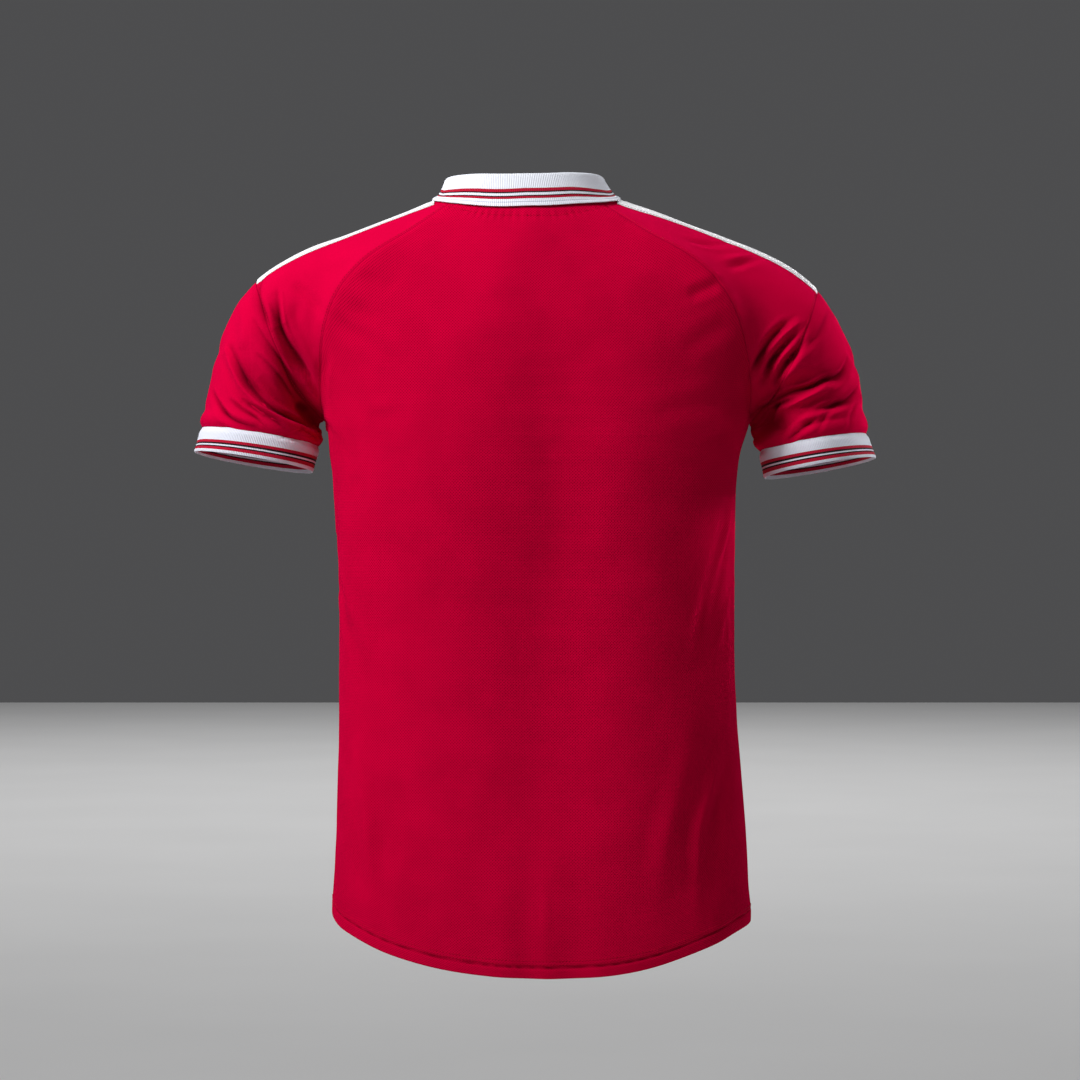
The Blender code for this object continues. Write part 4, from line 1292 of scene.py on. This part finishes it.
@dataclass(frozen=True)
class PlainKnit:
    """Smooth interlock knit with fine wales and a soft lustre."""
    name: str = "plain_knit"
    base: Point = (0.600, 0.0003, 0.040)
    hollow: Point = (0.330, 0.0002, 0.018)
    wale: float = 0.0010
    course: float = 0.0008
    relief: float = 0.00010

    def make(self) -> bpy.types.Material:
        """The material."""
        board = Board(self.name)
        across, up = board.flat()
        sway = board.math("MULTIPLY_ADD", board.wave(across, 2 * self.wale), 0.35 * self.course, up)
        loops = board.math("MULTIPLY", board.swing(across, self.wale), board.swing(sway, self.course))
        colour = board.patches(board.tint(loops, 0.34, self.base, self.hollow), self.hollow, 0.030, 0.14)
        board.relief(board.math("SUBTRACT", 1.0, loops), self.relief)
        roughness = board.math("MULTIPLY_ADD", loops, 0.12, 0.52)
        # painted shade along seams and creases darkens the colour
        return board.finish(board.with_painted_shade(colour), roughness, 0.14, (1.0, 0.02, 0.22), 0.0)


class Stripe(NamedTuple):
    """Knitted stripe: where it starts above the free edge, and its colour."""
    start: float
    colour: Point


WHITE = (0.85, 0.875, 0.96)
CUFF_WHITE = (0.76, 0.78, 0.88)
GREY = (0.52, 0.55, 0.66)
RED = (0.46, 0.002, 0.026)
BLACK = (0.016, 0.002, 0.004)


@dataclass(frozen=True)
class StripedRib:
    """Flat-knit rib, tipped with stripes that run along the free edge."""
    name: str
    stripes: tuple[Stripe, ...]
    hollow: Point = (0.16, 0.15, 0.19)
    rib: float = 0.0016
    course: float = 0.0011
    span: float = 0.060
    ragged: float = 0.00012
    relief: float = 0.00035

    def make(self) -> bpy.types.Material:
        """The material."""
        board = Board(self.name)
        across, up = board.flat()
        ribs = board.swing(across, self.rib)
        uneven = board.math("MULTIPLY_ADD", board.math("SUBTRACT", ribs, 0.5), self.ragged, up)
        place = board.math("DIVIDE", board.math("SUBTRACT", uneven, self.ragged), self.span)
        ramp = board.nodes.new("ShaderNodeValToRGB")
        ramp.color_ramp.interpolation = "CONSTANT"
        stops = ramp.color_ramp.elements
        stops.remove(stops[1])
        for n, stripe in enumerate(self.stripes):
            stop = stops[0] if n == 0 else stops.new(stripe.start / self.span)
            stop.position = stripe.start / self.span
            stop.color = (*stripe.colour, 1)
        board.links.new(place, ramp.inputs[0])
        furrow = board.ramp(ribs, 0.45, 0.0)
        colour = board.tint(furrow, 0.12, ramp.outputs[0], self.hollow)
        board.relief(board.math("MULTIPLY_ADD", board.swing(up, self.course), 0.25, ribs), self.relief)
        return board.finish(colour, board.math("MULTIPLY_ADD", furrow, 0.1, 0.72), 0.03, (1, 1, 1), 0.05)


@dataclass(frozen=True)
class ShoulderTape:
    """White knit tape: close flat stitches with a slight lustre."""
    name: str = "tape"
    base: Point = (0.86, 0.86, 0.89)
    hollow: Point = (0.50, 0.49, 0.53)
    wale: float = 0.0009
    relief: float = 0.00010

    def make(self) -> bpy.types.Material:
        """The material."""
        board = Board(self.name)
        across, up = board.flat()
        loops = board.math("MULTIPLY", board.swing(across, self.wale), board.swing(up, self.wale))
        colour = board.tint(loops, 0.35, self.base, self.hollow)
        colour = board.tint(board.ramp(board.grain(0.020), 0.3, 0.8), 0.10, colour, self.hollow)
        board.relief(board.math("SUBTRACT", 1.0, loops), self.relief)
        return board.finish(colour, board.math("MULTIPLY_ADD", loops, 0.15, 0.50), 0.10, (1, 1, 1), 0.3)


@dataclass(frozen=True)
class SewingThread:
    """Twisted polyester thread."""
    name: str
    base: Point
    shade: Point
    twist: float = 0.0006
    relief: float = 0.00005

    def make(self) -> bpy.types.Material:
        """The material."""
        board = Board(self.name)
        ply = board.ramp(board.grain(self.twist, 1.0), 0.35, 0.65)
        colour = board.blend(ply, self.base, self.shade)
        board.relief(ply, self.relief)
        return board.finish(colour, board.math("MULTIPLY_ADD", ply, 0.1, 0.50), 0.0, (1, 1, 1), 0.05)


@dataclass(frozen=True)
class StudioFloor:
    """Plain pale floor."""
    name: str = "studio_floor"
    base: Point = (0.84, 0.84, 0.84)
    shade: Point = (0.78, 0.78, 0.78)

    def make(self) -> bpy.types.Material:
        """The material."""
        board = Board(self.name)
        colour = board.blend(board.grain(0.8), self.base, self.shade)
        return board.finish(colour, 0.8, 0.0, (1, 1, 1), 0.2)


# ---------------------------------------------------------------- pieces
def smooth_object(name: str, points: np.ndarray, faces: Sequence[Sequence[int]],
                  material: bpy.types.Material) -> bpy.types.Object:
    """Make an object with smooth shading.

    Args:
        name: Its name.
        points: Its points.
        faces: Its faces.
        material: Its finish.

    Returns:
        The object.
    """
    mesh = bpy.data.meshes.new(name)
    mesh.from_pydata(points.tolist(), [], faces)
    mesh.materials.append(material)
    mesh.shade_smooth()
    piece = bpy.data.objects.new(name, mesh)
    bpy.context.scene.collection.objects.link(piece)
    return piece


def stands_for(piece: bpy.types.Object, node: str) -> None:
    """Tell the frame which solid a piece takes the place of."""
    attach(piece, "root")
    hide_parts(node)


def cloth_object(name: str, points: np.ndarray, faces: np.ndarray | list[list[int]],
                 flat: np.ndarray, material: bpy.types.Material,
                 numbers: dict[str, np.ndarray] | None = None) -> bpy.types.Object:
    """Make a piece of cloth from its mesh.

    Args:
        name: Its name.
        points: Its points.
        faces: Its faces.
        flat: Place of each face's corners on the flat cloth.
        material: Its finish.
        numbers: Numbers to store on the points.

    Returns:
        The object.
    """
    piece = smooth_object(name, points, faces if isinstance(faces, list) else faces.tolist(), material)
    mesh = piece.data
    layer = mesh.uv_layers.new(name="flat")
    layer.uv.foreach_set("vector", np.asarray(flat, np.float32).ravel())
    for label, values in (numbers or {}).items():
        stored = mesh.attributes.new(label, "FLOAT", "POINT")
        stored.data.foreach_set("value", np.asarray(values, np.float32))
    mesh.set_sharp_from_angle(angle=radians(50))
    mesh.update()
    return piece


@dataclass
class Panel:
    """A panel of the skin as a thin shell of cloth."""
    node: str
    piece: str
    slot: str
    cut: Pair
    area: float
    rests_on: tuple[str, ...]
    thickness: float = 0.0008
    edge_thickness: float = 0.0008
    edge_depth: float = 0.0
    edge_blend: float = 0.0006
    edge_least: float = 0.16

    def build(self, skin: Skin, seam_gaps: np.ndarray, finish: bpy.types.Material) -> bpy.types.Object:
        """Give the panel its two faces and its edges.

        Args:
            skin: The skin.
            seam_gaps: Distance of each skin point from the nearest seam.
            finish: The cloth's material.

        Returns:
            The piece.
        """
        quads, flat = skin.outer.of(self.node)
        coarse, coarse_flat = skin.lining.of(self.node)
        used, inverse = np.unique(quads, return_inverse=True)
        above = np.full(len(skin.points), 1.0)
        above[quads.ravel()] = flat[:, :, 1].ravel()
        thick = np.full(len(skin.points), self.thickness)
        if self.edge_depth:
            turned_up = np.clip((self.edge_depth + self.edge_blend - above) / (2 * self.edge_blend), 0, 1)
            thick += (self.edge_thickness - self.thickness) * turned_up
        rounding = np.sqrt(np.clip(above / (thick / 2), self.edge_least, 1))
        outer = skin.points - skin.normals * (thick * (1 - rounding) / 2)[:, None]
        inner = outer - skin.normals * (thick * rounding + skin.deepest())[:, None]
        lining, lining_inverse = np.unique(coarse, return_inverse=True)
        outer_number = {point: n for n, point in enumerate(used.tolist())}
        inner_number = {point: n + len(used) for n, point in enumerate(lining.tolist())}
        starts, ends = coarse.ravel().tolist(), np.roll(coarse, -1, axis=1).ravel().tolist()
        places = coarse_flat.reshape(-1, 2)
        next_places = np.roll(coarse_flat, -1, axis=1).reshape(-1, 2)
        opposite = set(zip(ends, starts))
        panel_points = set(outer_number)
        rim, rim_flat = [], []
        for a, b, place, next_place in zip(starts, ends, places, next_places):
            if (a, b) in opposite:
                continue
            chain = skin.chain(a, b, panel_points)[::-1]
            rim.append([outer_number[point] for point in chain] + [inner_number[a], inner_number[b]])
            rim_flat += [next_place + (place - next_place) * n / (len(chain) - 1) for n in range(len(chain))]
            rim_flat += [place, next_place]
        faces = inverse.reshape(quads.shape).tolist()
        faces += (lining_inverse.reshape(coarse.shape)[:, ::-1] + len(used)).tolist()
        corners = np.vstack((flat.reshape(-1, 2), coarse_flat[:, ::-1].reshape(-1, 2), rim_flat))
        both = np.append(used, lining)
        # the points carry their seam distance and painted shade to the material
        piece = cloth_object(self.piece, np.vstack((outer[used], inner[lining])), faces + rim, corners, finish,
                             {"seam": seam_gaps[both], "shade": skin.shade[both]})
        stands_for(piece, self.node)
        return piece


@dataclass
class Collar:
    """Rib collar: one strip that stands, folds over and lies on the shoulders."""
    neck_shift: float
    shift: float = -0.0025
    tilt: float = -0.012
    full_rise: float = 0.0165
    right_lift: float = 0.0024
    right_lift_place: float = 0.28
    right_lift_width: float = 0.3
    smoothing: int = 4
    stations: int = 132
    end: float = 1.992
    fold_radius: float = 0.0017
    stand_steps: int = 5
    fold_steps: int = 8
    leaf_steps: int = 14
    cloth: float = 0.0012
    rib: float = 0.0020
    last_halves: Pair = (0.42, 0.20)    # half thickness at the free edge, in ribs
    seam_gap: float = 0.0003
    leaf_clear: float = 0.0012
    stand_clear: float = 0.0012
    bulge: float = 0.0010
    cut: Pair = (0.548, 0.066)
    area: float = 0.031

    def sizes(self, place: float) -> tuple[float, ...]:
        """Rise, lean, reach, flare and spread between the table's rows."""
        rows = np.array(COLLAR_PLACES)
        return tuple(float(np.interp(place, rows[:, 0], rows[:, column])) for column in (1, 2, 3, 4, 5))

    def line(self, t: float, skin: Skin) -> tuple[list[Vector], list[float], Vector]:
        """Middle line of the rib at one station.

        Args:
            t: Place around the neck.
            skin: The skin that the leaf lies on.

        Returns:
            Points, half thickness at each, and the direction aside from the neck.
        """
        rise, lean, reach, flare, _ = self.sizes(abs(t))
        edge = Vector(neck_edge(t, self.neck_shift))
        ahead = neck_ahead(t, self.neck_shift)
        normal = skin.nearest(edge)[1]
        outward = ahead.cross(normal).normalized()
        level = Vector((ahead.y, -ahead.x, 0)).normalized()
        foot = edge - normal * self.cloth / 2
        rise -= self.tilt * (edge.x - self.neck_shift)
        reach -= self.right_lift * exp(-((t - self.right_lift_place) / self.right_lift_width) ** 2)
        lift = min(1, rise / self.full_rise)
        top = edge + Vector((self.shift * lift, 0, rise)) + level * lean
        up = (top - foot).normalized()
        foot = foot + up * self.stand_clear
        aside = (level - up * level.dot(up)).normalized()
        line = [foot.lerp(top, i / self.stand_steps) for i in range(self.stand_steps + 1)]
        for i in range(1, self.fold_steps + 1):
            turn = pi * i / self.fold_steps
            line.append(top + aside * self.fold_radius * (1 - cos(turn)) + up * self.fold_radius * sin(turn))
        start, rest = line[-1], edge + outward * reach
        clear = self.rib / 2 + self.seam_gap + self.leaf_clear
        middle = (start + rest) / 2
        slant, drop = up.dot(outward), rest - start
        corner = start - up * (slant * drop.dot(outward) - drop.dot(up)) / (1 - slant ** 2)
        bend = middle.lerp(corner, flare) + normal * self.bulge * (1 - flare)
        for i in range(1, self.leaf_steps + 1):
            share = i / self.leaf_steps
            point = start * (1 - share) ** 2 + bend * 2 * share * (1 - share) + rest * share ** 2
            near, facing = skin.nearest(point)
            if (point - near).dot(facing) < clear:
                point = near + facing * clear
            line.append(point)
        half = [self.rib / 2] * (len(line) - 2) + [self.rib * share for share in self.last_halves]
        return line, half, aside

    def build(self, skin: Skin, finish: bpy.types.Material) -> bpy.types.Object:
        """Draw the strip.

        Args:
            skin: The skin.
            finish: The rib's material.

        Returns:
            The piece.
        """
        rings, flats = [], []
        stations = [self.end * (2 * i / self.stations - 1) for i in range(self.stations + 1)]
        drawn = [self.line(t, skin) for t in stations]
        lines = np.array([line for line, _, _ in drawn])
        smooth(lines, self.smoothing)
        runs = lengths_along(lines[:, self.stand_steps])
        for t, run, places, (_, half, aside) in zip(stations, runs, lines, drawn):
            line = [Vector(place) for place in places]
            across = (line[2] - line[0]).cross(aside).normalized()
            inner, outer = [], []
            for j, point in enumerate(line):
                ahead = line[min(j + 1, len(line) - 1)] - line[max(j - 1, 0)]
                side = ahead.cross(across).normalized() * half[j]
                inner.append(point + side)
                outer.append(point - side)
            down = lengths_along(places)
            heights = ((down[-1] - down) / self.sizes(abs(t))[-1]).tolist()
            rings.append(inner + outer[::-1])
            flats.append([(run, h) for h in heights + heights[::-1]])
        size = len(rings[0])
        points = np.array([point for ring in rings for point in ring])
        places = np.array([place for ring in flats for place in ring])
        faces = [(i * size + j, i * size + (j + 1) % size, (i + 1) * size + (j + 1) % size, (i + 1) * size + j)
                 for i in range(self.stations) for j in range(size)]
        for start, flip in ((0, True), (self.stations * size, False)):
            for j in range(size // 2 - 1):
                quad = (start + j, start + j + 1, start + size - 2 - j, start + size - 1 - j)
                faces.append(quad if flip else quad[::-1])
        faces = np.array(faces)
        corners = points[faces]
        facing = np.cross(corners[:, 2] - corners[:, 0], corners[:, 3] - corners[:, 1])
        if (corners.mean(axis=1) * facing).sum() < 0:       # inside out, by its volume
            faces = faces[:, ::-1]
        piece = cloth_object("collar_rib", points, faces, places[faces], finish)
        stands_for(piece, "collar")
        return piece


@dataclass
class ShoulderBand:
    """White tape along a shoulder's ridge, from under the collar to the sleeve-head seam."""
    neck_shift: float
    back: Pair = (-0.0325, -0.0205)
    front: Pair = (0.0205, 0.0165)
    given_at: Pair = (0.0950, 0.2650)
    start: float = 0.0865
    end: float = 0.2655
    thickness: float = 0.0007
    lift: float = 0.00025
    long_steps: int = 84
    wide_steps: int = 24
    smoothing: int = 3
    rounding: float = 0.0008
    stitch_inset: float = 0.0016
    cut: float = 0.053

    def grid(self, arm: Arm, skin: Skin, shares: Sequence[float], inset: float = 0.0,
             ) -> tuple[np.ndarray, np.ndarray, np.ndarray]:
        """Places and outward directions on the skin under the tape.

        Args:
            arm: The side.
            skin: The skin.
            shares: Places across the tape, 0 at its back edge and 1 at its front edge.
            inset: How far inside the edges those two places are.

        Returns:
            Points and directions, by long steps and shares, and the tape's width at each long step.
        """
        reach = np.linspace(self.start, self.end, self.long_steps + 1)
        back = np.interp(reach, self.given_at, self.back) + inset
        front = np.interp(reach, self.given_at, self.front) - inset
        shift = self.neck_shift * (self.given_at[1] - reach) / (self.given_at[1] - self.given_at[0])
        points, normals = [], []
        for x, low, high in zip(arm.side * reach + shift, back, front):
            for share in shares:
                start = Vector((x, low + (high - low) * share, 1))
                place, facing, _, _ = skin.tree.ray_cast(start, Vector((0, 0, -1)))
                points.append(place)
                normals.append(facing if facing.z > 0 else -facing)
        shape = (len(reach), len(shares), 3)
        points, normals = np.array(points).reshape(shape), np.array(normals).reshape(shape)
        smooth(normals, self.smoothing)
        return points, unit(normals), front - back

    def build(self, arm: Arm, skin: Skin, finish: bpy.types.Material) -> bpy.types.Object:
        """Lay the tape on one shoulder.

        Args:
            arm: The side.
            skin: The skin.
            finish: The tape's material.

        Returns:
            The piece.
        """
        shares = np.linspace(0, 1, self.wide_steps + 1)
        points, normals, widths = self.grid(arm, skin, shares)
        rows, columns = points.shape[:2]
        edge = np.minimum(shares, 1 - shares)[None] * widths[:, None] / self.rounding
        height = self.lift + self.thickness * np.sqrt(np.clip(edge, 0.25, 1))
        outer = points + normals * height[:, :, None]
        inner = points + normals * self.lift
        run = lengths_along(points[:, columns // 2])
        flat = np.dstack((np.broadcast_to(run[:, None], (rows, columns)),
                          (shares[None] - 0.5) * widths[:, None])).reshape(-1, 2)
        count = rows * columns
        number = np.arange(count).reshape(rows, columns)
        quads = np.stack((number[:-1, :-1], number[1:, :-1], number[1:, 1:], number[:-1, 1:]), axis=2).reshape(-1, 4)
        border = np.concatenate((number[:, 0], number[-1, 1:], number[-2::-1, -1], number[0, -2:0:-1]))
        following = np.roll(border, -1)
        rim = np.column_stack((following, border, border + count, following + count))
        faces = np.vstack((quads, quads[:, ::-1] + count, rim))[:, ::arm.side]
        whole = np.vstack((outer.reshape(-1, 3), inner.reshape(-1, 3)))
        places = np.vstack((flat, flat))
        piece = cloth_object(f"shoulder_tape_{arm.name}", whole, faces, places[faces], finish)
        stands_for(piece, f"shoulder_stripe_{arm.name}")
        return piece

    def stitch_lines(self, arm: Arm, skin: Skin) -> list[np.ndarray]:
        """Lines of the two rows of stitches that hold the tape.

        Args:
            arm: The side.
            skin: The skin.

        Returns:
            One line along each edge.
        """
        points, normals, _ = self.grid(arm, skin, (0, 1), self.stitch_inset)
        lifted = points + normals * (self.lift + self.thickness)
        return [lifted[:, 0], lifted[:, 1]]


@dataclass
class Stitching:
    """Rows of single stitches that lie on the cloth."""
    length: float = 0.0024
    pitch: float = 0.0031
    radius: float = 0.00030
    sunk: float = 0.00008
    segments: int = 6
    rings: int = 5

    def pattern(self) -> tuple[np.ndarray, list[tuple[int, ...]]]:
        """One stitch, long in X: a ball drawn out, its ends bent down into the cloth.

        Returns:
            Its points and faces.
        """
        bpy.ops.object.select_all(action="DESELECT")
        bpy.ops.mesh.primitive_uv_sphere_add(segments=self.segments, ring_count=self.rings, radius=1)
        ball = bpy.context.object
        bpy.ops.object.mode_set(mode="EDIT")
        bpy.ops.mesh.select_all(action="SELECT")
        bpy.ops.transform.rotate(value=pi / 2, orient_axis="Y", center_override=(0, 0, 0))
        bpy.ops.transform.resize(value=(self.length / 2, self.radius, self.radius))
        bpy.ops.object.mode_set(mode="OBJECT")
        points = np.array([vertex.co[:] for vertex in ball.data.vertices])
        points[:, 2] -= self.radius * (points[:, 0] / (self.length / 2)) ** 2
        faces = [tuple(face.vertices) for face in ball.data.polygons]
        bpy.data.objects.remove(ball)
        return points, faces

    def sew(self, name: str, lines: Iterable[np.ndarray], skin: Skin, finish: bpy.types.Material,
            slot: str, on_cloth: bool = True) -> bpy.types.Object:
        """Copy the stitch along lines.

        Args:
            name: The piece's name.
            lines: Points along each line.
            skin: The skin, for the outward directions.
            finish: The thread's material.
            slot: Material slot; not used.
            on_cloth: Whether the lines are brought onto the skin first.

        Returns:
            The piece with all stitches.
        """
        stitch, stitch_faces = self.pattern()
        points, faces = [], []
        for line in lines:
            lengths = lengths_along(line)
            for place in np.arange(self.pitch / 2, lengths[-1] - self.pitch / 2, self.pitch):
                here = Vector([np.interp(place, lengths, line[:, k]) for k in range(3)])
                there = Vector([np.interp(place + self.pitch / 2, lengths, line[:, k]) for k in range(3)])
                near, facing = skin.nearest(here)
                if on_cloth:
                    here = near
                ahead = there - here
                ahead = (ahead - facing * ahead.dot(facing)).normalized()
                turned = np.array((ahead, facing.cross(ahead), facing))
                start = len(points) * len(stitch)
                points.append(stitch @ turned + np.array(here + facing * (self.radius - self.sunk)))
                faces += [tuple(start + i for i in face) for face in stitch_faces]
        piece = smooth_object(name, np.vstack(points), faces, finish)
        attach(piece, "root")
        return piece


@dataclass
class SewingLines:
    """Where the visible rows of stitches run."""
    form: JerseyForm
    hem_rows: tuple[float, ...] = (0.0130, 0.0165)
    neck_row: float = 0.0165
    neck_stations: int = 160
    neck_end: float = 1.9
    seam_row: float = 0.0022
    around: int = 400

    def hem(self) -> list[np.ndarray]:
        """The hem's two rows."""
        edge = np.array([self.form.level_point(HEM_SECTION, turn) + (0, 0, self.form.hem_height(turn))
                         for turn in np.linspace(0, 1, self.around + 1)])
        return [edge + (0, 0, rise) for rise in self.hem_rows]

    def neck(self, skin: Skin) -> list[np.ndarray]:
        """The row around the neck, below the collar's leaf at the back."""
        points = []
        for t in np.linspace(-self.neck_end, self.neck_end, self.neck_stations):
            edge = Vector(neck_edge(t, self.form.neck_shift))
            ahead = neck_ahead(t, self.form.neck_shift)
            normal = skin.nearest(edge)[1]
            points.append(skin.nearest(edge + ahead.cross(normal).normalized() * self.neck_row)[0])
        return [np.array(points)]

    def beside_seams(self, skin: Skin, lines: Iterable[SeamEdge],
                     on_panel: str, other: str) -> list[np.ndarray]:
        """A row beside the seam of two panels, on one of them.

        Args:
            skin: The skin.
            lines: Seam edges with their panels.
            on_panel: Start of the name of the panel that has the row.
            other: Start of the other panel's name.

        Returns:
            One line for each seam.
        """
        rows = []
        found = {pair for _, _, pair in lines}
        for pair in sorted(found, key=sorted):
            first = [name for name in pair if name.startswith(on_panel)]
            second = [name for name in pair if name.startswith(other)]
            if not first or not second or first == second:
                continue
            nexts: dict[int, list[int]] = {}
            for a, b, names in lines:
                if names == pair:
                    nexts.setdefault(a, []).append(b)
                    nexts.setdefault(b, []).append(a)
            quads, _ = skin.lining.of(first[0])
            beside: dict[int, np.ndarray] = {}
            mid = skin.points[quads].mean(axis=1)
            for quad, centre in zip(quads.tolist(), mid):
                for i in quad:
                    if i in nexts:
                        beside[i] = beside.get(i, np.zeros(3)) + centre - skin.points[i]
            starts = [i for i, near in nexts.items() if len(near) == 1] or [next(iter(nexts))]
            here, before = starts[0], -1
            chain = [here]
            while True:
                onward = [i for i in nexts[here] if i != before and i not in chain[-2:]]
                if not onward or onward[0] == chain[0]:
                    break
                before, here = here, onward[0]
                chain.append(here)
            line = []
            for n, i in enumerate(chain):
                ahead = skin.points[chain[min(n + 1, len(chain) - 1)]] - skin.points[chain[max(n - 1, 0)]]
                inward = np.cross(skin.normals[i], ahead)
                if inward @ beside.get(i, inward) < 0:
                    inward = -inward
                line.append(skin.points[i] + unit(inward) * self.seam_row)
            rows.append(np.array(line[2:-2]))
        LOG.info("%d rows beside the %s seams", len(rows), on_panel)
        return rows


@dataclass
class Studio:
    """Floor, lights and camera."""
    floor_height: float = -1.45
    floor_side: float = 40.0
    camera_place: Point = (0.0029, -EYE_DISTANCE, EYE_HEIGHT)
    lens_share: float = 3351 / 1080
    sensor: float = 36.0

    def floor(self) -> None:
        """Lay the floor."""
        bpy.ops.object.select_all(action="DESELECT")
        bpy.ops.mesh.primitive_plane_add(size=self.floor_side, location=(0, 0, self.floor_height))
        floor = bpy.context.object
        floor.name = "studio_floor"
        floor.data.materials.append(StudioFloor().make())
        bpy.ops.object.transform_apply(location=True, rotation=False, scale=False)

    def lamp(self, name: str, place: Point, target: Point, power: float, size: float,
             spread: float = 180.0) -> None:
        """Hang a soft square lamp.

        Args:
            name: Its name.
            place: Where it hangs.
            target: Where it points.
            power: Watts.
            size: Side of the square.
            spread: Angle that its light fans out over, in degrees.
        """
        light = bpy.data.lights.new(name, "AREA")
        light.energy, light.size, light.spread = power, size, radians(spread)
        lamp = bpy.data.objects.new(name, light)
        lamp.location = place
        lamp.rotation_euler = (Vector(target) - Vector(place)).to_track_quat("-Z", "Y").to_euler()
        bpy.context.scene.collection.objects.link(lamp)

    def light(self) -> None:
        """Set the lamps and the pale surroundings."""
        self.lamp("key", (-1.60, -1.05, 0.90), (0, 0, -0.20), 43, 0.5)
        self.lamp("high", (-0.70, -0.95, 1.60), (0, 0, -0.20), 17, 0.6)
        self.lamp("fill", (1.58, -1.88, 1.42), (0, 0, -0.30), 5.2, 0.8)
        self.lamp("top", (0.60, 0.90, 2.20), (0, 0, -0.20), 13, 0.7)
        self.lamp("rim", (2.00, 1.50, 0.25), (0.2, 0, -0.20), 9, 0.7)
        self.lamp("edge", (1.05, 0.28, 0.05), (0.32, 0, -0.17), 0.20, 0.25, 24)
        self.lamp("floor", (0, 11.0, 5.50), (0, 11.0, self.floor_height), 600, 12.0)
        world = bpy.data.worlds.new("surroundings")
        world.use_nodes = True
        backdrop = world.node_tree.nodes["Background"]
        backdrop.inputs["Color"].default_value = (0.30, 0.30, 0.31, 1)
        backdrop.inputs["Strength"].default_value = 0.25
        bpy.context.scene.world = world
        bpy.context.scene.view_settings.view_transform = "Standard"

    def camera(self) -> None:
        """Set the camera level behind the wearer."""
        data = bpy.data.cameras.new("camera")
        data.sensor_width = self.sensor
        data.lens = self.lens_share * self.sensor
        camera = bpy.data.objects.new("camera", data)
        camera.location = self.camera_place
        camera.rotation_euler = (radians(90), 0, 0)
        bpy.context.scene.collection.objects.link(camera)
        bpy.context.scene.camera = camera


PANELS = (
    #     node, piece, slot, cut, area, rests on
    Panel("back", "back_cloth", "mesh_knit", (0.540, 0.735), 0.331,
          ("shoulder_cloth_left", "shoulder_cloth_right"), edge_thickness=0.0022, edge_depth=0.0165),
    Panel("front", "front_cloth", "mesh_knit", (0.535, 0.700), 0.305,
          ("shoulder_cloth_left", "shoulder_cloth_right"), edge_thickness=0.0022, edge_depth=0.0165),
    Panel("shoulder_panel_left", "shoulder_cloth_left", "plain_knit", (0.40, 0.195), 0.0434, ("back_cloth",)),
    Panel("shoulder_panel_right", "shoulder_cloth_right", "plain_knit", (0.39, 0.215), 0.0476, ("back_cloth",)),
    Panel("sleeve_left", "sleeve_cloth_left", "plain_knit", (0.40, 0.152), 0.0307, ("shoulder_cloth_left",)),
    Panel("sleeve_right", "sleeve_cloth_right", "plain_knit", (0.39, 0.147), 0.0301, ("shoulder_cloth_right",)),
    Panel("cuff_left", "cuff_rib_left", "rib_knit", (0.342, 0.024), 0.0082, ("sleeve_cloth_left",),
          thickness=0.0018),
    Panel("cuff_right", "cuff_rib_right", "rib_knit", (0.330, 0.024), 0.0079, ("sleeve_cloth_right",),
          thickness=0.0018),
)
CUFF_STRIPES = (Stripe(0.0, CUFF_WHITE), Stripe(0.0025, RED), Stripe(0.0053, BLACK), Stripe(0.0064, CUFF_WHITE),
                Stripe(0.0079, BLACK), Stripe(0.0096, RED), Stripe(0.0121, CUFF_WHITE))
COLLAR_STRIPES = (Stripe(0.0, WHITE), Stripe(0.0028, GREY), Stripe(0.0037, WHITE), Stripe(0.0063, RED),
                  Stripe(0.0081, BLACK), Stripe(0.0091, WHITE), Stripe(0.0111, BLACK), Stripe(0.0122, RED),
                  Stripe(0.0148, WHITE))


def main() -> None:
    """Load the frame and dress it, piece by piece."""
    logging.basicConfig(level=logging.INFO, format="%(message)s")
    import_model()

    studio = Studio()
    studio.floor()
    studio.light()
    studio.camera()

    form = JerseyForm()
    skin = form.skin()
    worn = WornCloth()
    worn.press(skin)
    worn.wave(skin)
    rows = SewingLines(form)
    worn.topstitch(skin, rows.neck(skin)[0])
    seam_lines = worn.seam_lines(skin)
    gaps = worn.sew(skin)
    LOG.info("skin: %d points", len(skin.points))

    finishes = {
        "mesh_knit": MeshKnit().make(),
        "plain_knit": PlainKnit().make(),
        "rib_knit": StripedRib("cuff_rib", CUFF_STRIPES).make(),
    }
    pieces = [panel.build(skin, gaps, finishes[panel.slot]) for panel in PANELS]
    pieces.append(Collar(form.neck_shift).build(skin, StripedRib("collar_rib", COLLAR_STRIPES).make()))
    band = ShoulderBand(form.neck_shift)
    tape = ShoulderTape().make()
    pieces += [band.build(arm, skin, tape) for arm in ARMS]

    red_thread = SewingThread("red_thread", (0.56, 0.0003, 0.034), (0.40, 0.0002, 0.022)).make()
    white_thread = SewingThread("white_thread", (0.80, 0.80, 0.84), (0.52, 0.50, 0.55)).make()
    stitching = Stitching()
    raglans, heads = ([line for other in others for line in rows.beside_seams(skin, seam_lines, "shoulder", other)]
                      for others in (("back", "front"), ("sleeve",)))
    red_rows = (("hem", rows.hem(), "mesh_knit"), ("neck", rows.neck(skin), "mesh_knit"),
                ("raglan", raglans, "plain_knit"), ("sleeve_head", heads, "plain_knit"))
    pieces += [stitching.sew(f"{name}_stitches", lines, skin, red_thread, slot) for name, lines, slot in red_rows]
    tape_rows = [line for arm in ARMS for line in band.stitch_lines(arm, skin)]
    pieces.append(stitching.sew("tape_stitches", tape_rows, skin, white_thread, "tape", on_cloth=False))
    for piece in pieces:
        LOG.info("%s: %d faces", piece.name, len(piece.data.polygons))


if __name__ == "__main__":
    main()
